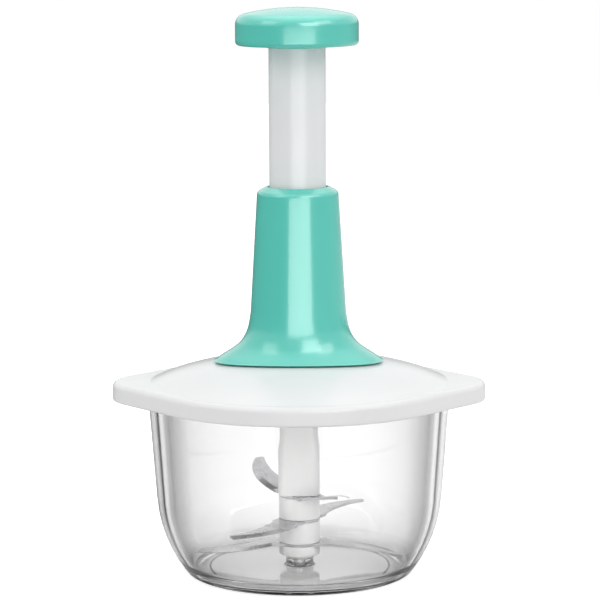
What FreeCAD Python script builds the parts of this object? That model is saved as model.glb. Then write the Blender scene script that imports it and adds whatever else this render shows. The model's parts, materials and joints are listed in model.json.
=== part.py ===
import FreeCAD, Part
import math
import os

V = FreeCAD.Vector
UP = V(0, 0, 1)
ORIGIN = V(0, 0, 0)

# A hand-press food chopper. Millimetres, +Z up, ears of the lid along X, origin at the middle of
# the bowl's foot. Pressing the knob slides the tube and its nut down a twisted steel strip, the
# strip turns in the lid, and its hex spindle turns the blades. A spring lifts the knob again.

# ------------------------------------------------------------------ fits between pieces
PRESS_GAP = 0.02  # round a pressed-in pin or bush
RUNNING_GAP = 0.06  # round a shaft that turns or slides
SEAT_GAP = 0.05  # between two faces that rest on each other
SOFT_GAP = 0.3  # between the silicone seal and the bowl wall
SLIP_GAP = 0.2  # between pieces that are pushed together by hand
SCREW_GAP = 0.4  # over a screw's head

# ------------------------------------------------------------------ drawing limits
SAME_PLACE = 1e-6  # points closer than this are one point
SAME_LEVEL = 0.01  # an edge this near a face's height lies on the face
LEG_SHARE = 0.99  # most of a line that the rounds at its ends may take

# ------------------------------------------------------------------ bowl
BOWL_HEIGHT = 84.1
BOWL_RIM_RADIUS = 67.6
BOWL_SHOULDER_RADIUS = 62.5
BOWL_SHOULDER_HEIGHT = 17.0
BOWL_FOOT_RADIUS = 50.0
BOWL_SHOULDER_ROUND = 60.0
BOWL_FOOT_ROUND = 4.0
BOWL_INNER_FOOT_ROUND = 14.0
BOWL_RIM_ROUND = 1.1
BOWL_WALL = 2.7
BOWL_FLOOR = 2.6
FOOT_RING_WIDTH = 5.0
FOOT_RECESS = 0.8
PIN_RADIUS = 2.5
PIN_SKIN = 0.7  # plastic left under the pin
PIN_REACH = 14.0  # pin above its boss
BOSS_RADIUS = 6.2
BOSS_HEIGHT = 3.4  # above the bowl's floor
BOSS_ROUND = 1.1
PIN_TIP_ROUND = 0.8

# ------------------------------------------------------------------ lid
SKIRT_WALL = 1.5
SKIRT_DEPTH = 6.2
LID_PLATE = 2.45
EAR_RADIUS = 22.0
EAR_OFFSET = 61.3
EAR_WALL = 1.8
LID_TOP_ROUND = 2.6
LID_LOWER_ROUND = 1.1
DOME_INSET = 2.9
DOME_CROWN = 10.4  # height of the dome's parabola
DOME_SHOULDER = 1.5  # extra height lost near its edge
DOME_SHOULDER_POWER = 10
DOME_STEPS = 6  # points along the dome's curve
DOME_WALL = 2.2
PLUG_GAP = 2.0
PLUG_WALL = 2.4
PLUG_DEPTH = 6.0
SEAL_DROP = 1.8
SEAL_HEIGHT = 2.8
SEAL_SEAT_DEPTH = 1.1
LID_RIBS = 6
LID_RIB_WALL = 1.6
EAR_RIBS = 3
EAR_RIB_PITCH = 9.0
CUP_GAP = 0.6
CUP_WALL = 2.0
CUP_SINK = 0.6  # cup floor below the lid's flat rim
CUP_FLOOR = 2.4
COLLAR_RISE = 2.4
BEARING_LENGTH = 7.0
BEARING_WALL = 2.8

# ------------------------------------------------------------------ tower
TOWER_WALL = 2.6
TOWER_TAPER = 3.2  # radius gained from the top to the flare
FLARE_RISE = 23.0  # flare's height above the flange edge
FLARE_SHAPE = (  # share of the flare's height, share of its spread
    (0.0, 1.012),
    (0.05, 0.93),
    (0.13, 0.785),
    (0.25, 0.525),
    (0.37, 0.315),
    (0.51, 0.175),
    (0.67, 0.083),
    (0.84, 0.032),
    (1.0, 0.0),
)
FLANGE_HALF_LENGTH = 38.1
FLANGE_HALF_WIDTH = 28.0
FLANGE_GAP = 0.35  # shadow gap under the flange
FLARE_CORE_DROP = 0.9  # the hollow's flare lies this much lower
TOWER_CHAMFER = 2.6
TOWER_SHOULDER_ROUND = 2.4
TOWER_LIP = 4.3
MOUTH_GAP = 0.8
GUIDE_RIBS = 4
GUIDE_RIB_WALL = 1.8
GUIDE_RIB_GAP = 0.2
SOCKET_WALL = 1.8
TOWER_SCREW_OFFSET = 26.5
TOWER_SCREW_RADIUS = 1.6
TOWER_SCREW_HEAD = 2.9
TOWER_SCREW_HEAD_HEIGHT = 2.0
TOWER_SCREW_GRIP = 4.2  # screw length in the tower
TOWER_SCREW_DROP = 6.5  # lid boss below the dome's top
TOWER_BOSS_WALL = 1.9

# ------------------------------------------------------------------ plunger
STROKE = 56.0
TUBE_RADIUS = 12.55
TUBE_WALL = 1.65
BUSH_WALL = 2.8
BUSH_HEIGHT = 10.0
STOP_GAP = 0.1
NUT_FLANGE = 2.6
NUT_BODY = 8.6
NUT_ROUND = 0.8
NUT_PIN_RADIUS = 1.0
NUT_PIN_LENGTH = 3.4
KNOB_REST_GAP = 5.8  # knob to tower at full press
KNOB_RADIUS = 27.2
KNOB_SIDE = 13.0
KNOB_CROWN = 3.7
KNOB_DRAFT = 0.3
KNOB_WALL = 2.2
KNOB_TOP_ROUND = 5.0
KNOB_LOWER_ROUND = 2.0
KNOB_BASE_THICKNESS = 2.4
KNOB_COLLAR = 0.9
KNOB_COLLAR_DROP = 1.0
KNOB_SLEEVE_WALL = 2.2
KNOB_WEB = 2.0
KNOB_LEDGE = 0.6
PLUG_HEIGHT = 7.0
KNOB_SCREW_RADIUS = 1.8
KNOB_SCREW_HEAD = 3.4
KNOB_SCREW_HEAD_HEIGHT = 1.6
KNOB_SCREW_LENGTH = 6.0

# ------------------------------------------------------------------ spring
SPRING_WIRE_RADIUS = 0.7
SPRING_CLOSED_LENGTH = 14.0
SPRING_ACTIVE_TURNS = 5.5
SPRING_END_TURNS = 1.0
SPRING_STEPS_PER_TURN = 20
SPRING_WIRE_SIDES = 8
SPRING_SIDE_GAP = 0.9

# ------------------------------------------------------------------ drive
TWIST_LEAD = 44.0
STRIP_WIDTH = 7.0
STRIP_THICKNESS = 2.3
STRIP_SLOT_GAP = 0.2
STRIP_OVERRUN = 1.3  # strip above the nut at rest
STRIP_TANG = 7.4
TWIST_STEP = 20.0  # degrees between sections
JOURNAL_RADIUS = 5.5
BUSH_SLEEVE_WALL = 1.4
BUSH_FLANGE = 1.0
BUSH_FLANGE_WIDTH = 2.4
WASHER = 0.6
SPRING_WASHER = 1.0
DRIVE_DISC_RADIUS = 9.0
DRIVE_DISC = 3.0
DRIVE_HUB_RADIUS = 6.4
DRIVE_HUB_HEIGHT = 5.8
CROSS_PIN_RADIUS = 1.0
JOURNAL_TAIL = 1.7  # journal below the bearing
CLIP = 0.6
CLIP_GAP = 0.1
CLIP_GROOVE_DEPTH = 0.6
CLIP_RADIUS = 7.0
CLIP_OPENING = 6.0
HEX_ACROSS = 7.0
SPINDLE_REACH = 12.0
SPINDLE_TOP_COVER = 2.4
SPINDLE_CHAMFER = 0.8

# ------------------------------------------------------------------ blades
HUB_WIDTH = 18.3
HUB_NECK_WIDTH = 16.9
HUB_CORNER_ROUND = 3.2
HUB_NECK_LENGTH = 15.1
HUB_TAPER_LENGTH = 4.9
HUB_TOP_GAP = 0.9
HUB_SOCKET_SPARE = 1.0
PIVOT_BORE_SPARE = 1.0
STEM_RADIUS = 7.0
STEM_FLAT = 5.8  # half the width across the stem's flats
STEM_GAP = 0.05
PIVOT_BUSH_WALL = 1.4
PIVOT_BUSH_FLANGE = 1.0
PIVOT_BUSH_FLANGE_RADIUS = 5.8
FOOT_RING_HEIGHT = 4.5
FOOT_RING_LIFT = 0.5
BLADE_THICKNESS = 1.2
BLADE_SPACING = 10.0
BLADE_BEVEL = 2.6
BLADE_EDGE = 0.3
BLADE_RING_RADIUS = 9.15
BLADE_ROOT = 6.6  # half the plate's width
BLADE_BEND = 12.0  # from the axis to the bend
BLADE_BELLY = (0.55, 6.3)  # the edge's bow: share of the arm's length, distance from its middle
BLADE_BACK = (0.5, 3.0)  # the back's bow, given the same way
BLADE_TIP = (3.3, 2.2)  # the tip's slanted end: how far back from the middle line, how far in
BLADES = {
    "lower_blade": {"reach": 47.5, "tilt": 9.0, "turn": 0.0},
    "middle_blade": {"reach": 49.0, "tilt": 0.0, "turn": 60.0},
    "upper_blade": {"reach": 50.0, "tilt": -12.0, "turn": 120.0},
}

# ------------------------------------------------------------------ worked-out places
bowl_inner_rim = BOWL_RIM_RADIUS - BOWL_WALL
pin_bottom_z = FOOT_RECESS + PIN_SKIN
boss_top_z = BOWL_FLOOR + BOSS_HEIGHT
rim_seat_z = BOWL_HEIGHT + SEAT_GAP
lid_top_z = rim_seat_z + LID_PLATE
skirt_bottom_z = rim_seat_z - SKIRT_DEPTH
skirt_bore = BOWL_RIM_RADIUS + SLIP_GAP
lid_radius = skirt_bore + SKIRT_WALL
dome_radius = lid_radius - DOME_INSET
plug_radius = bowl_inner_rim - PLUG_GAP
plug_bore = plug_radius - PLUG_WALL
plug_bottom_z = rim_seat_z - PLUG_DEPTH
seal_top_z = rim_seat_z - SEAL_DROP
seal_bottom_z = seal_top_z - SEAL_HEIGHT

guide_radius = TUBE_RADIUS + RUNNING_GAP + BUSH_WALL
cup_bore = guide_radius + CUP_GAP
cup_radius = cup_bore + CUP_WALL
cup_floor_z = lid_top_z - CUP_SINK
bearing_bottom_z = cup_floor_z - BEARING_LENGTH
bearing_bore = JOURNAL_RADIUS + RUNNING_GAP + BUSH_SLEEVE_WALL + PRESS_GAP
spring_seat_z = cup_floor_z + SPRING_WASHER
nut_z = spring_seat_z + SPRING_CLOSED_LENGTH + STROKE
nut_top_z = nut_z + NUT_FLANGE + NUT_BODY
tube_z = nut_z + NUT_FLANGE
bush_z = tube_z + STOP_GAP
bush_top_z = bush_z + BUSH_HEIGHT
tower_top_z = bush_top_z + TOWER_LIP
mouth_radius = TUBE_RADIUS + MOUTH_GAP
tower_bore = guide_radius + PRESS_GAP
tower_radius = tower_bore + TOWER_WALL
knob_z = tower_top_z + STROKE + KNOB_REST_GAP
knob_hollow_z = knob_z + KNOB_SIDE + KNOB_CROWN - KNOB_WALL - KNOB_LEDGE
knob_screw_seat_z = knob_hollow_z - SCREW_GAP - KNOB_SCREW_HEAD_HEIGHT
tube_top_z = knob_screw_seat_z - KNOB_WEB - 2 * SEAT_GAP
tube_bore = TUBE_RADIUS - TUBE_WALL

washer_top_z = cup_floor_z + BUSH_FLANGE + WASHER
drive_z = washer_top_z + SEAT_GAP
drive_hub_z = drive_z + DRIVE_DISC
drive_top_z = drive_hub_z + DRIVE_HUB_HEIGHT
journal_end_z = bearing_bottom_z - JOURNAL_TAIL
clip_z = bearing_bottom_z - CLIP_GAP - CLIP
twist_z = drive_top_z + SEAT_GAP
strip_top_z = nut_top_z + STRIP_OVERRUN
cross_pin_z = drive_hub_z + DRIVE_HUB_HEIGHT / 2
spindle_top_z = drive_z + DRIVE_DISC - SPINDLE_TOP_COVER
spindle_end_z = journal_end_z - SPINDLE_REACH

hub_top_z = journal_end_z - HUB_TOP_GAP
neck_end_z = hub_top_z - HUB_NECK_LENGTH
hub_side_z = neck_end_z - HUB_TAPER_LENGTH
stem_end_z = boss_top_z + SEAT_GAP + PIVOT_BUSH_FLANGE
foot_ring_z = stem_end_z + FOOT_RING_LIFT
first_blade_z = foot_ring_z + FOOT_RING_HEIGHT
stem_top_z = first_blade_z + len(BLADES) * BLADE_THICKNESS + (len(BLADES) - 1) * BLADE_SPACING


# ------------------------------------------------------------------ shared shapes
def disc(radius, bottom, top):
    return Part.makeCylinder(radius, top - bottom, V(0, 0, bottom))


def ring(outer, inner, bottom, top):
    return disc(outer, bottom, top).cut(disc(inner, bottom, top))


def block(x0, x1, y0, y1, z0, z1):
    return Part.makeBox(x1 - x0, y1 - y0, z1 - z0, V(x0, y0, z0))


def at_angle(shape, degrees):
    turned_shape = shape.copy()
    turned_shape.rotate(ORIGIN, UP, degrees)
    return turned_shape


def prism(wire, height):
    return Part.Face(wire).extrude(V(0, 0, height))


def rounded_outline(corners, rounds):
    """A closed outline in the XZ plane: corners joined by lines, each corner rounded."""
    points = [V(x, 0, z) for x, z in corners]
    count = len(points)
    legs = [(points[(i + 1) % count] - points[i]).Length for i in range(count)]
    back = []
    for i, radius in enumerate(rounds):
        to_last = (points[i - 1] - points[i]).normalize()
        to_next = (points[(i + 1) % count] - points[i]).normalize()
        back.append(radius / math.tan(to_last.getAngle(to_next) / 2) if radius else 0.0)
    for i in range(count):
        wanted = back[i] + back[(i + 1) % count]
        if wanted > legs[i]:
            back[i] *= LEG_SHARE * legs[i] / wanted
            back[(i + 1) % count] *= LEG_SHARE * legs[i] / wanted
    edges = []
    starts, ends = [], []
    for i, length in enumerate(back):
        to_last = (points[i - 1] - points[i]).normalize()
        to_next = (points[(i + 1) % count] - points[i]).normalize()
        starts.append(points[i] + to_last * length)
        ends.append(points[i] + to_next * length)
        if length:
            half = to_last.getAngle(to_next) / 2
            inward = (to_last + to_next).normalize()
            reach = length / math.cos(half) - length * math.tan(half)
            edges.append(Part.Arc(starts[i], points[i] + inward * reach, ends[i]).toShape())
    for i in range(count):
        following = starts[(i + 1) % count]
        if (following - ends[i]).Length > SAME_PLACE:
            edges.append(Part.LineSegment(ends[i], following).toShape())
    return Part.Wire(Part.__sortEdges__(edges))


def turned(corners, rounds=None):
    """The solid that an outline of (radius, height) corners makes when turned about Z."""
    wire = rounded_outline(corners, rounds or [0.0] * len(corners))
    return Part.Face(wire).revolve(ORIGIN, UP, 360)


def inset_corner(last, corner, following, distance):
    """The corner of a wall's inner line, parallel to two outer lines that run outward and up."""
    first = V(corner[0] - last[0], corner[1] - last[1], 0).normalize()
    second = V(following[0] - corner[0], following[1] - corner[1], 0).normalize()
    bisector = V(-first.y - second.y, first.x + second.x, 0).normalize()
    reach = distance / (bisector.dot(V(-first.y, first.x, 0)))
    return corner[0] + bisector.x * reach, corner[1] + bisector.y * reach


def hexagon(across, bottom, top):
    corner = across / 2 / math.cos(math.pi / 6)
    points = [
        V(corner * math.cos(math.pi / 3 * i), corner * math.sin(math.pi / 3 * i), bottom)
        for i in range(7)
    ]
    return prism(Part.makePolygon(points), top - bottom)


def fillet_edges(shape, radius, wanted):
    """Round the edges for which wanted(edge) holds."""
    return shape.makeFillet(radius, [edge for edge in shape.Edges if wanted(edge)])


# ------------------------------------------------------------------ bowl
def bowl():
    foot = (BOWL_FOOT_RADIUS, 0.0)
    shoulder = (BOWL_SHOULDER_RADIUS, BOWL_SHOULDER_HEIGHT)
    rim = (BOWL_RIM_RADIUS, BOWL_HEIGHT)
    above = (2 * rim[0] - shoulder[0], 2 * rim[1] - shoulder[1])
    inner_shoulder = inset_corner(foot, shoulder, rim, BOWL_WALL)
    inner_rim_radius = inset_corner(shoulder, rim, above, BOWL_WALL)[0]
    slope = (shoulder[0] - foot[0]) / (shoulder[1] - foot[1])
    inner_foot = (inner_shoulder[0] - slope * (inner_shoulder[1] - BOWL_FLOOR), BOWL_FLOOR)
    ring_inner = BOWL_FOOT_RADIUS - BOWL_FOOT_ROUND - FOOT_RING_WIDTH
    corners = [
        (0.0, FOOT_RECESS),
        (ring_inner - FOOT_RECESS, FOOT_RECESS),
        (ring_inner, 0.0),
        foot,
        shoulder,
        rim,
        (inner_rim_radius, BOWL_HEIGHT),
        inner_shoulder,
        inner_foot,
        (BOSS_RADIUS, BOWL_FLOOR),
        (BOSS_RADIUS, boss_top_z),
        (PIN_RADIUS + PRESS_GAP, boss_top_z),
        (PIN_RADIUS + PRESS_GAP, pin_bottom_z),
        (0.0, pin_bottom_z),
    ]
    rounds = [0.0] * len(corners)
    rounds[3] = BOWL_FOOT_ROUND
    rounds[4] = BOWL_SHOULDER_ROUND
    rounds[5] = BOWL_RIM_ROUND
    rounds[6] = BOWL_RIM_ROUND
    rounds[7] = BOWL_SHOULDER_ROUND - BOWL_WALL
    rounds[8] = BOWL_INNER_FOOT_ROUND
    rounds[9] = BOSS_ROUND
    return turned(corners, rounds)


def bowl_pivot_pin():
    top = boss_top_z + PIN_REACH
    corners = [(0.0, pin_bottom_z), (PIN_RADIUS, pin_bottom_z), (PIN_RADIUS, top), (0.0, top)]
    return turned(corners, [0.0, 0.0, PIN_TIP_ROUND, 0.0])


# ------------------------------------------------------------------ lid
def dome_height(radius):
    share = radius / dome_radius
    crown = DOME_CROWN * (1 - share**2)
    shoulder = DOME_SHOULDER * (1 - share**DOME_SHOULDER_POWER)
    return lid_top_z + crown + shoulder


def under_dome(radius, bottom, offset=0.0):
    """The turned solid below the dome's surface, which is lifted by offset, out to a radius."""
    places = [radius * i / DOME_STEPS for i in range(DOME_STEPS + 1)]
    outline = [V(place, 0, dome_height(place) + offset) for place in places]
    curve = Part.BSplineCurve()
    curve.interpolate(outline)
    low_edge = V(radius, 0, bottom)
    low_axis = V(0, 0, bottom)
    edges = [
        curve.toShape(),
        Part.LineSegment(outline[-1], low_edge).toShape(),
        Part.LineSegment(low_edge, low_axis).toShape(),
        Part.LineSegment(low_axis, outline[0]).toShape(),
    ]
    return Part.Face(Part.Wire(edges)).revolve(ORIGIN, UP, 360)


def eared_outline(inset, height):
    """The lid's outline, drawn in by inset: the rim circle and two ears, joined by tangents."""
    rim = lid_radius - inset
    ear = EAR_RADIUS - inset
    lean = math.acos((rim - ear) / EAR_OFFSET)
    across, along = math.cos(lean), math.sin(lean)
    edges = []
    for side in (1, -1):
        rim_point = V(side * rim * across, side * rim * along, height)
        ear_point = V(side * (EAR_OFFSET + ear * across), side * ear * along, height)
        ear_tip = V(side * (EAR_OFFSET + ear), 0, height)
        ear_end = V(ear_point.x, -ear_point.y, height)
        rim_end = V(rim_point.x, -rim_point.y, height)
        edges.append(Part.LineSegment(rim_point, ear_point).toShape())
        edges.append(Part.Arc(ear_point, ear_tip, ear_end).toShape())
        edges.append(Part.LineSegment(ear_end, rim_end).toShape())
        far_point = V(-rim_point.x, rim_point.y, height)
        edges.append(Part.Arc(rim_point, V(0, side * rim, height), far_point).toShape())
    return Part.Wire(Part.__sortEdges__(edges))


def eared_plate(inset, bottom, top):
    return prism(eared_outline(inset, bottom), top - bottom)


def ear_pockets():
    """The hollows under the two ears, with the ribs that stand in them."""
    top = lid_top_z - LID_PLATE
    pockets = eared_plate(EAR_WALL, skirt_bottom_z, top).cut(disc(lid_radius, skirt_bottom_z, top))
    reach = EAR_OFFSET + EAR_RADIUS
    first = -(EAR_RIBS - 1) / 2 * EAR_RIB_PITCH
    for i in range(EAR_RIBS):
        middle = first + i * EAR_RIB_PITCH
        half = LID_RIB_WALL / 2
        rib = block(-reach, reach, middle - half, middle + half, skirt_bottom_z + LID_RIB_WALL, top)
        pockets = pockets.cut(rib)
    return pockets


def lid_shell():
    plate = eared_plate(0.0, skirt_bottom_z, lid_top_z)
    top = lid_top_z - SAME_LEVEL
    bottom = skirt_bottom_z + SAME_LEVEL
    plate = fillet_edges(plate, LID_TOP_ROUND, lambda edge: edge.BoundBox.ZMin > top)
    plate = fillet_edges(plate, LID_LOWER_ROUND, lambda edge: edge.BoundBox.ZMax < bottom)
    shell = plate.fuse(under_dome(dome_radius, rim_seat_z))
    shell = shell.cut(disc(skirt_bore, skirt_bottom_z, rim_seat_z))
    shell = shell.cut(ear_pockets())
    return shell.cut(under_dome(plug_bore, skirt_bottom_z, -DOME_WALL))


def lid_ribs():
    """Radial ribs under the dome, from the cup to the plug ring."""
    ribs = []
    for i in range(LID_RIBS):
        rib = block(
            cup_radius - CUP_WALL / 2,
            plug_bore + PLUG_WALL / 2,
            -LID_RIB_WALL / 2,
            LID_RIB_WALL / 2,
            rim_seat_z - SEAL_DROP,
            lid_top_z + DOME_CROWN,
        )
        ribs.append(at_angle(rib, 360 / LID_RIBS * (i + 0.5)))
    return Part.makeCompound(ribs).common(under_dome(plug_radius, skirt_bottom_z, -DOME_WALL / 2))


def screw_places():
    return [V(-TOWER_SCREW_OFFSET, 0, 0), V(TOWER_SCREW_OFFSET, 0, 0)]


def at_screws(radius, bottom, top):
    post = disc(radius, bottom, top)
    return Part.makeCompound([post.translated(place) for place in screw_places()])


def screw_seat_z():
    return dome_height(TOWER_SCREW_OFFSET) - TOWER_SCREW_DROP


def lid():
    body = lid_shell()
    body = body.fuse(ring(plug_radius, plug_bore, plug_bottom_z, rim_seat_z + LID_PLATE / 2))
    body = body.fuse(lid_ribs())
    inside = under_dome(plug_radius, skirt_bottom_z, -DOME_WALL / 2)
    boss_radius = TOWER_SCREW_RADIUS + SLIP_GAP + TOWER_BOSS_WALL
    body = body.fuse(at_screws(boss_radius, screw_seat_z(), lid_top_z + 2 * DOME_CROWN).common(inside))
    collar_top = dome_height(cup_radius) + COLLAR_RISE
    body = body.fuse(disc(cup_radius, cup_floor_z - CUP_FLOOR, collar_top))
    body = body.fuse(disc(bearing_bore + BEARING_WALL, bearing_bottom_z, cup_floor_z))
    body = body.cut(disc(cup_bore, cup_floor_z, collar_top))
    body = body.cut(disc(bearing_bore, bearing_bottom_z, cup_floor_z))
    body = body.cut(at_screws(TOWER_SCREW_RADIUS + SLIP_GAP, screw_seat_z(), collar_top))
    seat = ring(plug_radius, plug_radius - SEAL_SEAT_DEPTH, seal_bottom_z, seal_top_z)
    return body.cut(seat).removeSplitter()


def lid_seal_ring():
    """A soft ring with a rounded lip, held in the plug's groove."""
    inner = plug_radius - SEAL_SEAT_DEPTH + SEAT_GAP
    taper = (BOWL_RIM_RADIUS - BOWL_SHOULDER_RADIUS) / (BOWL_HEIGHT - BOWL_SHOULDER_HEIGHT)
    outer = bowl_inner_rim - taper * (BOWL_HEIGHT - seal_bottom_z) - SOFT_GAP
    low = seal_bottom_z + SEAT_GAP
    high = seal_top_z - SEAT_GAP
    corners = [(inner, low), (outer, low), (outer, high), (inner, high)]
    lip = SEAL_HEIGHT / 3
    return turned(corners, [0.0, lip, lip, 0.0])


# ------------------------------------------------------------------ tower on the lid
def tower_sections(inset, sink):
    """Oval sections of the flare, bottom first, each (half length, half width, height)."""
    flange_z = dome_height(FLANGE_HALF_LENGTH)
    waist = tower_radius + TOWER_TAPER
    sections = []
    for height_share, spread in FLARE_SHAPE:
        half_length = waist + (FLANGE_HALF_LENGTH - waist) * spread - inset
        half_width = waist + (FLANGE_HALF_WIDTH - waist) * spread - inset
        sections.append((half_length, half_width, flange_z + FLARE_RISE * height_share - sink))
    return sections


def oval(half_length, half_width, height):
    if half_length - half_width < SAME_PLACE:
        return Part.Wire(Part.Circle(V(0, 0, height), UP, half_length).toShape())
    return Part.Wire(Part.Ellipse(V(0, 0, height), half_length, half_width).toShape())


def tower_form(inset=0.0, sink=0.0):
    """The flare, oval at its foot and round at its top, and the tapered column above it."""
    sections = tower_sections(inset, sink)
    flare = Part.makeLoft([oval(*section) for section in sections], True, False)
    foot_radius, _, foot_z = sections[-1]
    chamfer_z = tower_top_z - TOWER_CHAMFER
    column = turned([
        (0.0, foot_z),
        (foot_radius, foot_z),
        (tower_radius - inset, chamfer_z),
        (0.0, chamfer_z),
    ])
    return flare.fuse(column)


def tower_guides():
    """Ribs inside the tower that guide the nut's flange."""
    start = guide_radius + GUIDE_RIB_GAP
    collar_top = dome_height(cup_radius) + COLLAR_RISE
    half = GUIDE_RIB_WALL / 2
    rib = block(start, tower_radius + TOWER_TAPER, -half, half, collar_top + SEAT_GAP, bush_z)
    return Part.makeCompound([at_angle(rib, 360 / GUIDE_RIBS * (i + 0.5)) for i in range(GUIDE_RIBS)])


def tower_housing():
    chamfer_z = tower_top_z - TOWER_CHAMFER
    cap = turned([
        (0.0, chamfer_z),
        (tower_radius, chamfer_z),
        (mouth_radius, tower_top_z),
        (0.0, tower_top_z),
    ])
    form = tower_form().fuse(cap).removeSplitter()
    form = fillet_edges(form, TOWER_SHOULDER_ROUND,
                        lambda edge: abs(edge.BoundBox.Center.z - chamfer_z) < SAME_LEVEL)
    cavity = tower_form(TOWER_WALL, FLARE_CORE_DROP)
    cavity = cavity.cut(disc(FLANGE_HALF_LENGTH, bush_z, tower_top_z))
    shell = form.cut(cavity)
    shell = shell.cut(under_dome(dome_radius, skirt_bottom_z, FLANGE_GAP))
    inner = tower_guides()
    socket_bore = cup_radius + SLIP_GAP
    socket_radius = socket_bore + SOCKET_WALL
    socket_top = dome_height(cup_radius) + COLLAR_RISE
    inner = inner.fuse(ring(socket_radius, socket_bore, skirt_bottom_z, socket_top + GUIDE_RIB_WALL))
    boss_radius = TOWER_SCREW_RADIUS + TOWER_BOSS_WALL
    inner = inner.fuse(at_screws(boss_radius, skirt_bottom_z, tower_top_z))
    inner = inner.common(tower_form(TOWER_WALL / 2))
    inner = inner.cut(under_dome(dome_radius, skirt_bottom_z, SEAT_GAP))
    inner = inner.cut(ring(guide_radius + GUIDE_RIB_GAP, mouth_radius, skirt_bottom_z, bush_z))
    body = shell.fuse(inner)
    body = body.cut(disc(tower_bore, bush_z, bush_top_z))
    body = body.cut(disc(mouth_radius, bush_top_z, tower_top_z))
    tip = dome_height(TOWER_SCREW_OFFSET) + TOWER_SCREW_GRIP + SEAT_GAP
    body = body.cut(at_screws(TOWER_SCREW_RADIUS + PRESS_GAP, skirt_bottom_z, tip))
    return body.removeSplitter()


def tower_screws():
    seat = screw_seat_z() - SEAT_GAP
    tip = dome_height(TOWER_SCREW_OFFSET) + TOWER_SCREW_GRIP
    corners = [
        (0.0, seat - TOWER_SCREW_HEAD_HEIGHT),
        (TOWER_SCREW_HEAD, seat - TOWER_SCREW_HEAD_HEIGHT),
        (TOWER_SCREW_HEAD, seat),
        (TOWER_SCREW_RADIUS, seat),
        (TOWER_SCREW_RADIUS, tip - TOWER_SCREW_RADIUS),
        (TOWER_SCREW_RADIUS / 2, tip),
        (0.0, tip),
    ]
    screw = turned(corners, [0.0, TOWER_SCREW_HEAD_HEIGHT / 2, 0.0, 0.0, 0.0, 0.0, 0.0])
    return Part.makeCompound([screw.translated(place) for place in screw_places()])


def tube_guide_bush():
    inner = TUBE_RADIUS + RUNNING_GAP
    return ring(guide_radius, inner, bush_z, bush_top_z - SEAT_GAP)


# ------------------------------------------------------------------ plunger
def plunger_tube():
    tube = ring(TUBE_RADIUS, tube_bore, tube_z + SEAT_GAP, tube_top_z)
    return tube.cut(nut_pin_bores(PRESS_GAP))


def nut_pin_bores(extra):
    """The two cross holes, or with no extra the two pins, that fix the nut in the tube."""
    outer = TUBE_RADIUS - SEAT_GAP
    height = tube_z + NUT_BODY / 2
    pins = []
    for side in (1, -1):
        start = V(side * (outer + extra), 0, height)
        length = NUT_PIN_LENGTH + 2 * extra
        pins.append(Part.makeCylinder(NUT_PIN_RADIUS + extra, length, start, V(-side, 0, 0)))
    return Part.makeCompound(pins)


def nut_pins():
    return nut_pin_bores(0.0)


def drive_nut():
    body_radius = tube_bore - PRESS_GAP
    corners = [
        (0.0, nut_z),
        (guide_radius, nut_z),
        (guide_radius, tube_z),
        (body_radius, tube_z),
        (body_radius, nut_top_z),
        (0.0, nut_top_z),
    ]
    nut = turned(corners, [0.0, 0.0, 0.0, 0.0, NUT_ROUND, 0.0])
    slot = twisted_bar(
        STRIP_WIDTH + 2 * STRIP_SLOT_GAP,
        STRIP_THICKNESS + 2 * STRIP_SLOT_GAP,
        nut_z - STRIP_SLOT_GAP,
        nut_top_z + STRIP_SLOT_GAP,
    )
    return nut.cut(slot).cut(nut_pin_bores(PRESS_GAP))


def knob_form(inset, bottom, lower_round):
    """The turned form of the knob, drawn in by inset: tapered side, rounded edge, ball crown."""
    side = KNOB_RADIUS - inset
    shoulder = knob_z + KNOB_SIDE
    top = shoulder + KNOB_CROWN - inset
    corners = [(0.0, bottom), (side, bottom), (side - KNOB_DRAFT, top), (0.0, top)]
    form = turned(corners, [0.0, lower_round, 0.0, 0.0])
    ball_radius = (KNOB_RADIUS**2 + KNOB_CROWN**2) / (2 * KNOB_CROWN) - inset
    form = form.common(Part.makeSphere(ball_radius, V(0, 0, top - ball_radius)))
    low = shoulder - inset - KNOB_CROWN
    wide = side - 2 * KNOB_DRAFT
    return fillet_edges(form, KNOB_TOP_ROUND - inset,
                        lambda edge: edge.BoundBox.ZMin > low and edge.BoundBox.XMax > wide)


def knob_cap():
    ledge_z = knob_z + KNOB_BASE_THICKNESS
    form = knob_form(0.0, knob_z, KNOB_LOWER_ROUND)
    hollow = knob_form(KNOB_WALL + KNOB_LEDGE, ledge_z, 0.0)
    return form.cut(hollow).cut(disc(KNOB_RADIUS - KNOB_WALL, knob_z, ledge_z))


def knob_base():
    """The disc that closes the knob, with a sleeve for the tube and a web for the screw."""
    top = knob_z + KNOB_BASE_THICKNESS - SEAT_GAP
    sleeve_bore = TUBE_RADIUS + PRESS_GAP
    sleeve = sleeve_bore + KNOB_SLEEVE_WALL
    web_z = tube_top_z + SEAT_GAP
    collar = sleeve_bore + KNOB_COLLAR
    corners = [
        (sleeve_bore, knob_z - KNOB_COLLAR_DROP),
        (collar, knob_z - KNOB_COLLAR_DROP),
        (collar + KNOB_COLLAR_DROP, knob_z),
        (KNOB_RADIUS - KNOB_WALL - SEAT_GAP, knob_z),
        (KNOB_RADIUS - KNOB_WALL - SEAT_GAP, top),
        (sleeve, top),
        (sleeve, web_z + KNOB_WEB),
        (KNOB_SCREW_RADIUS + SLIP_GAP, web_z + KNOB_WEB),
        (KNOB_SCREW_RADIUS + SLIP_GAP, web_z),
        (sleeve_bore, web_z),
    ]
    rounds = [0.0] * len(corners)
    rounds[6] = KNOB_WEB / 2
    return turned(corners, rounds)


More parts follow.
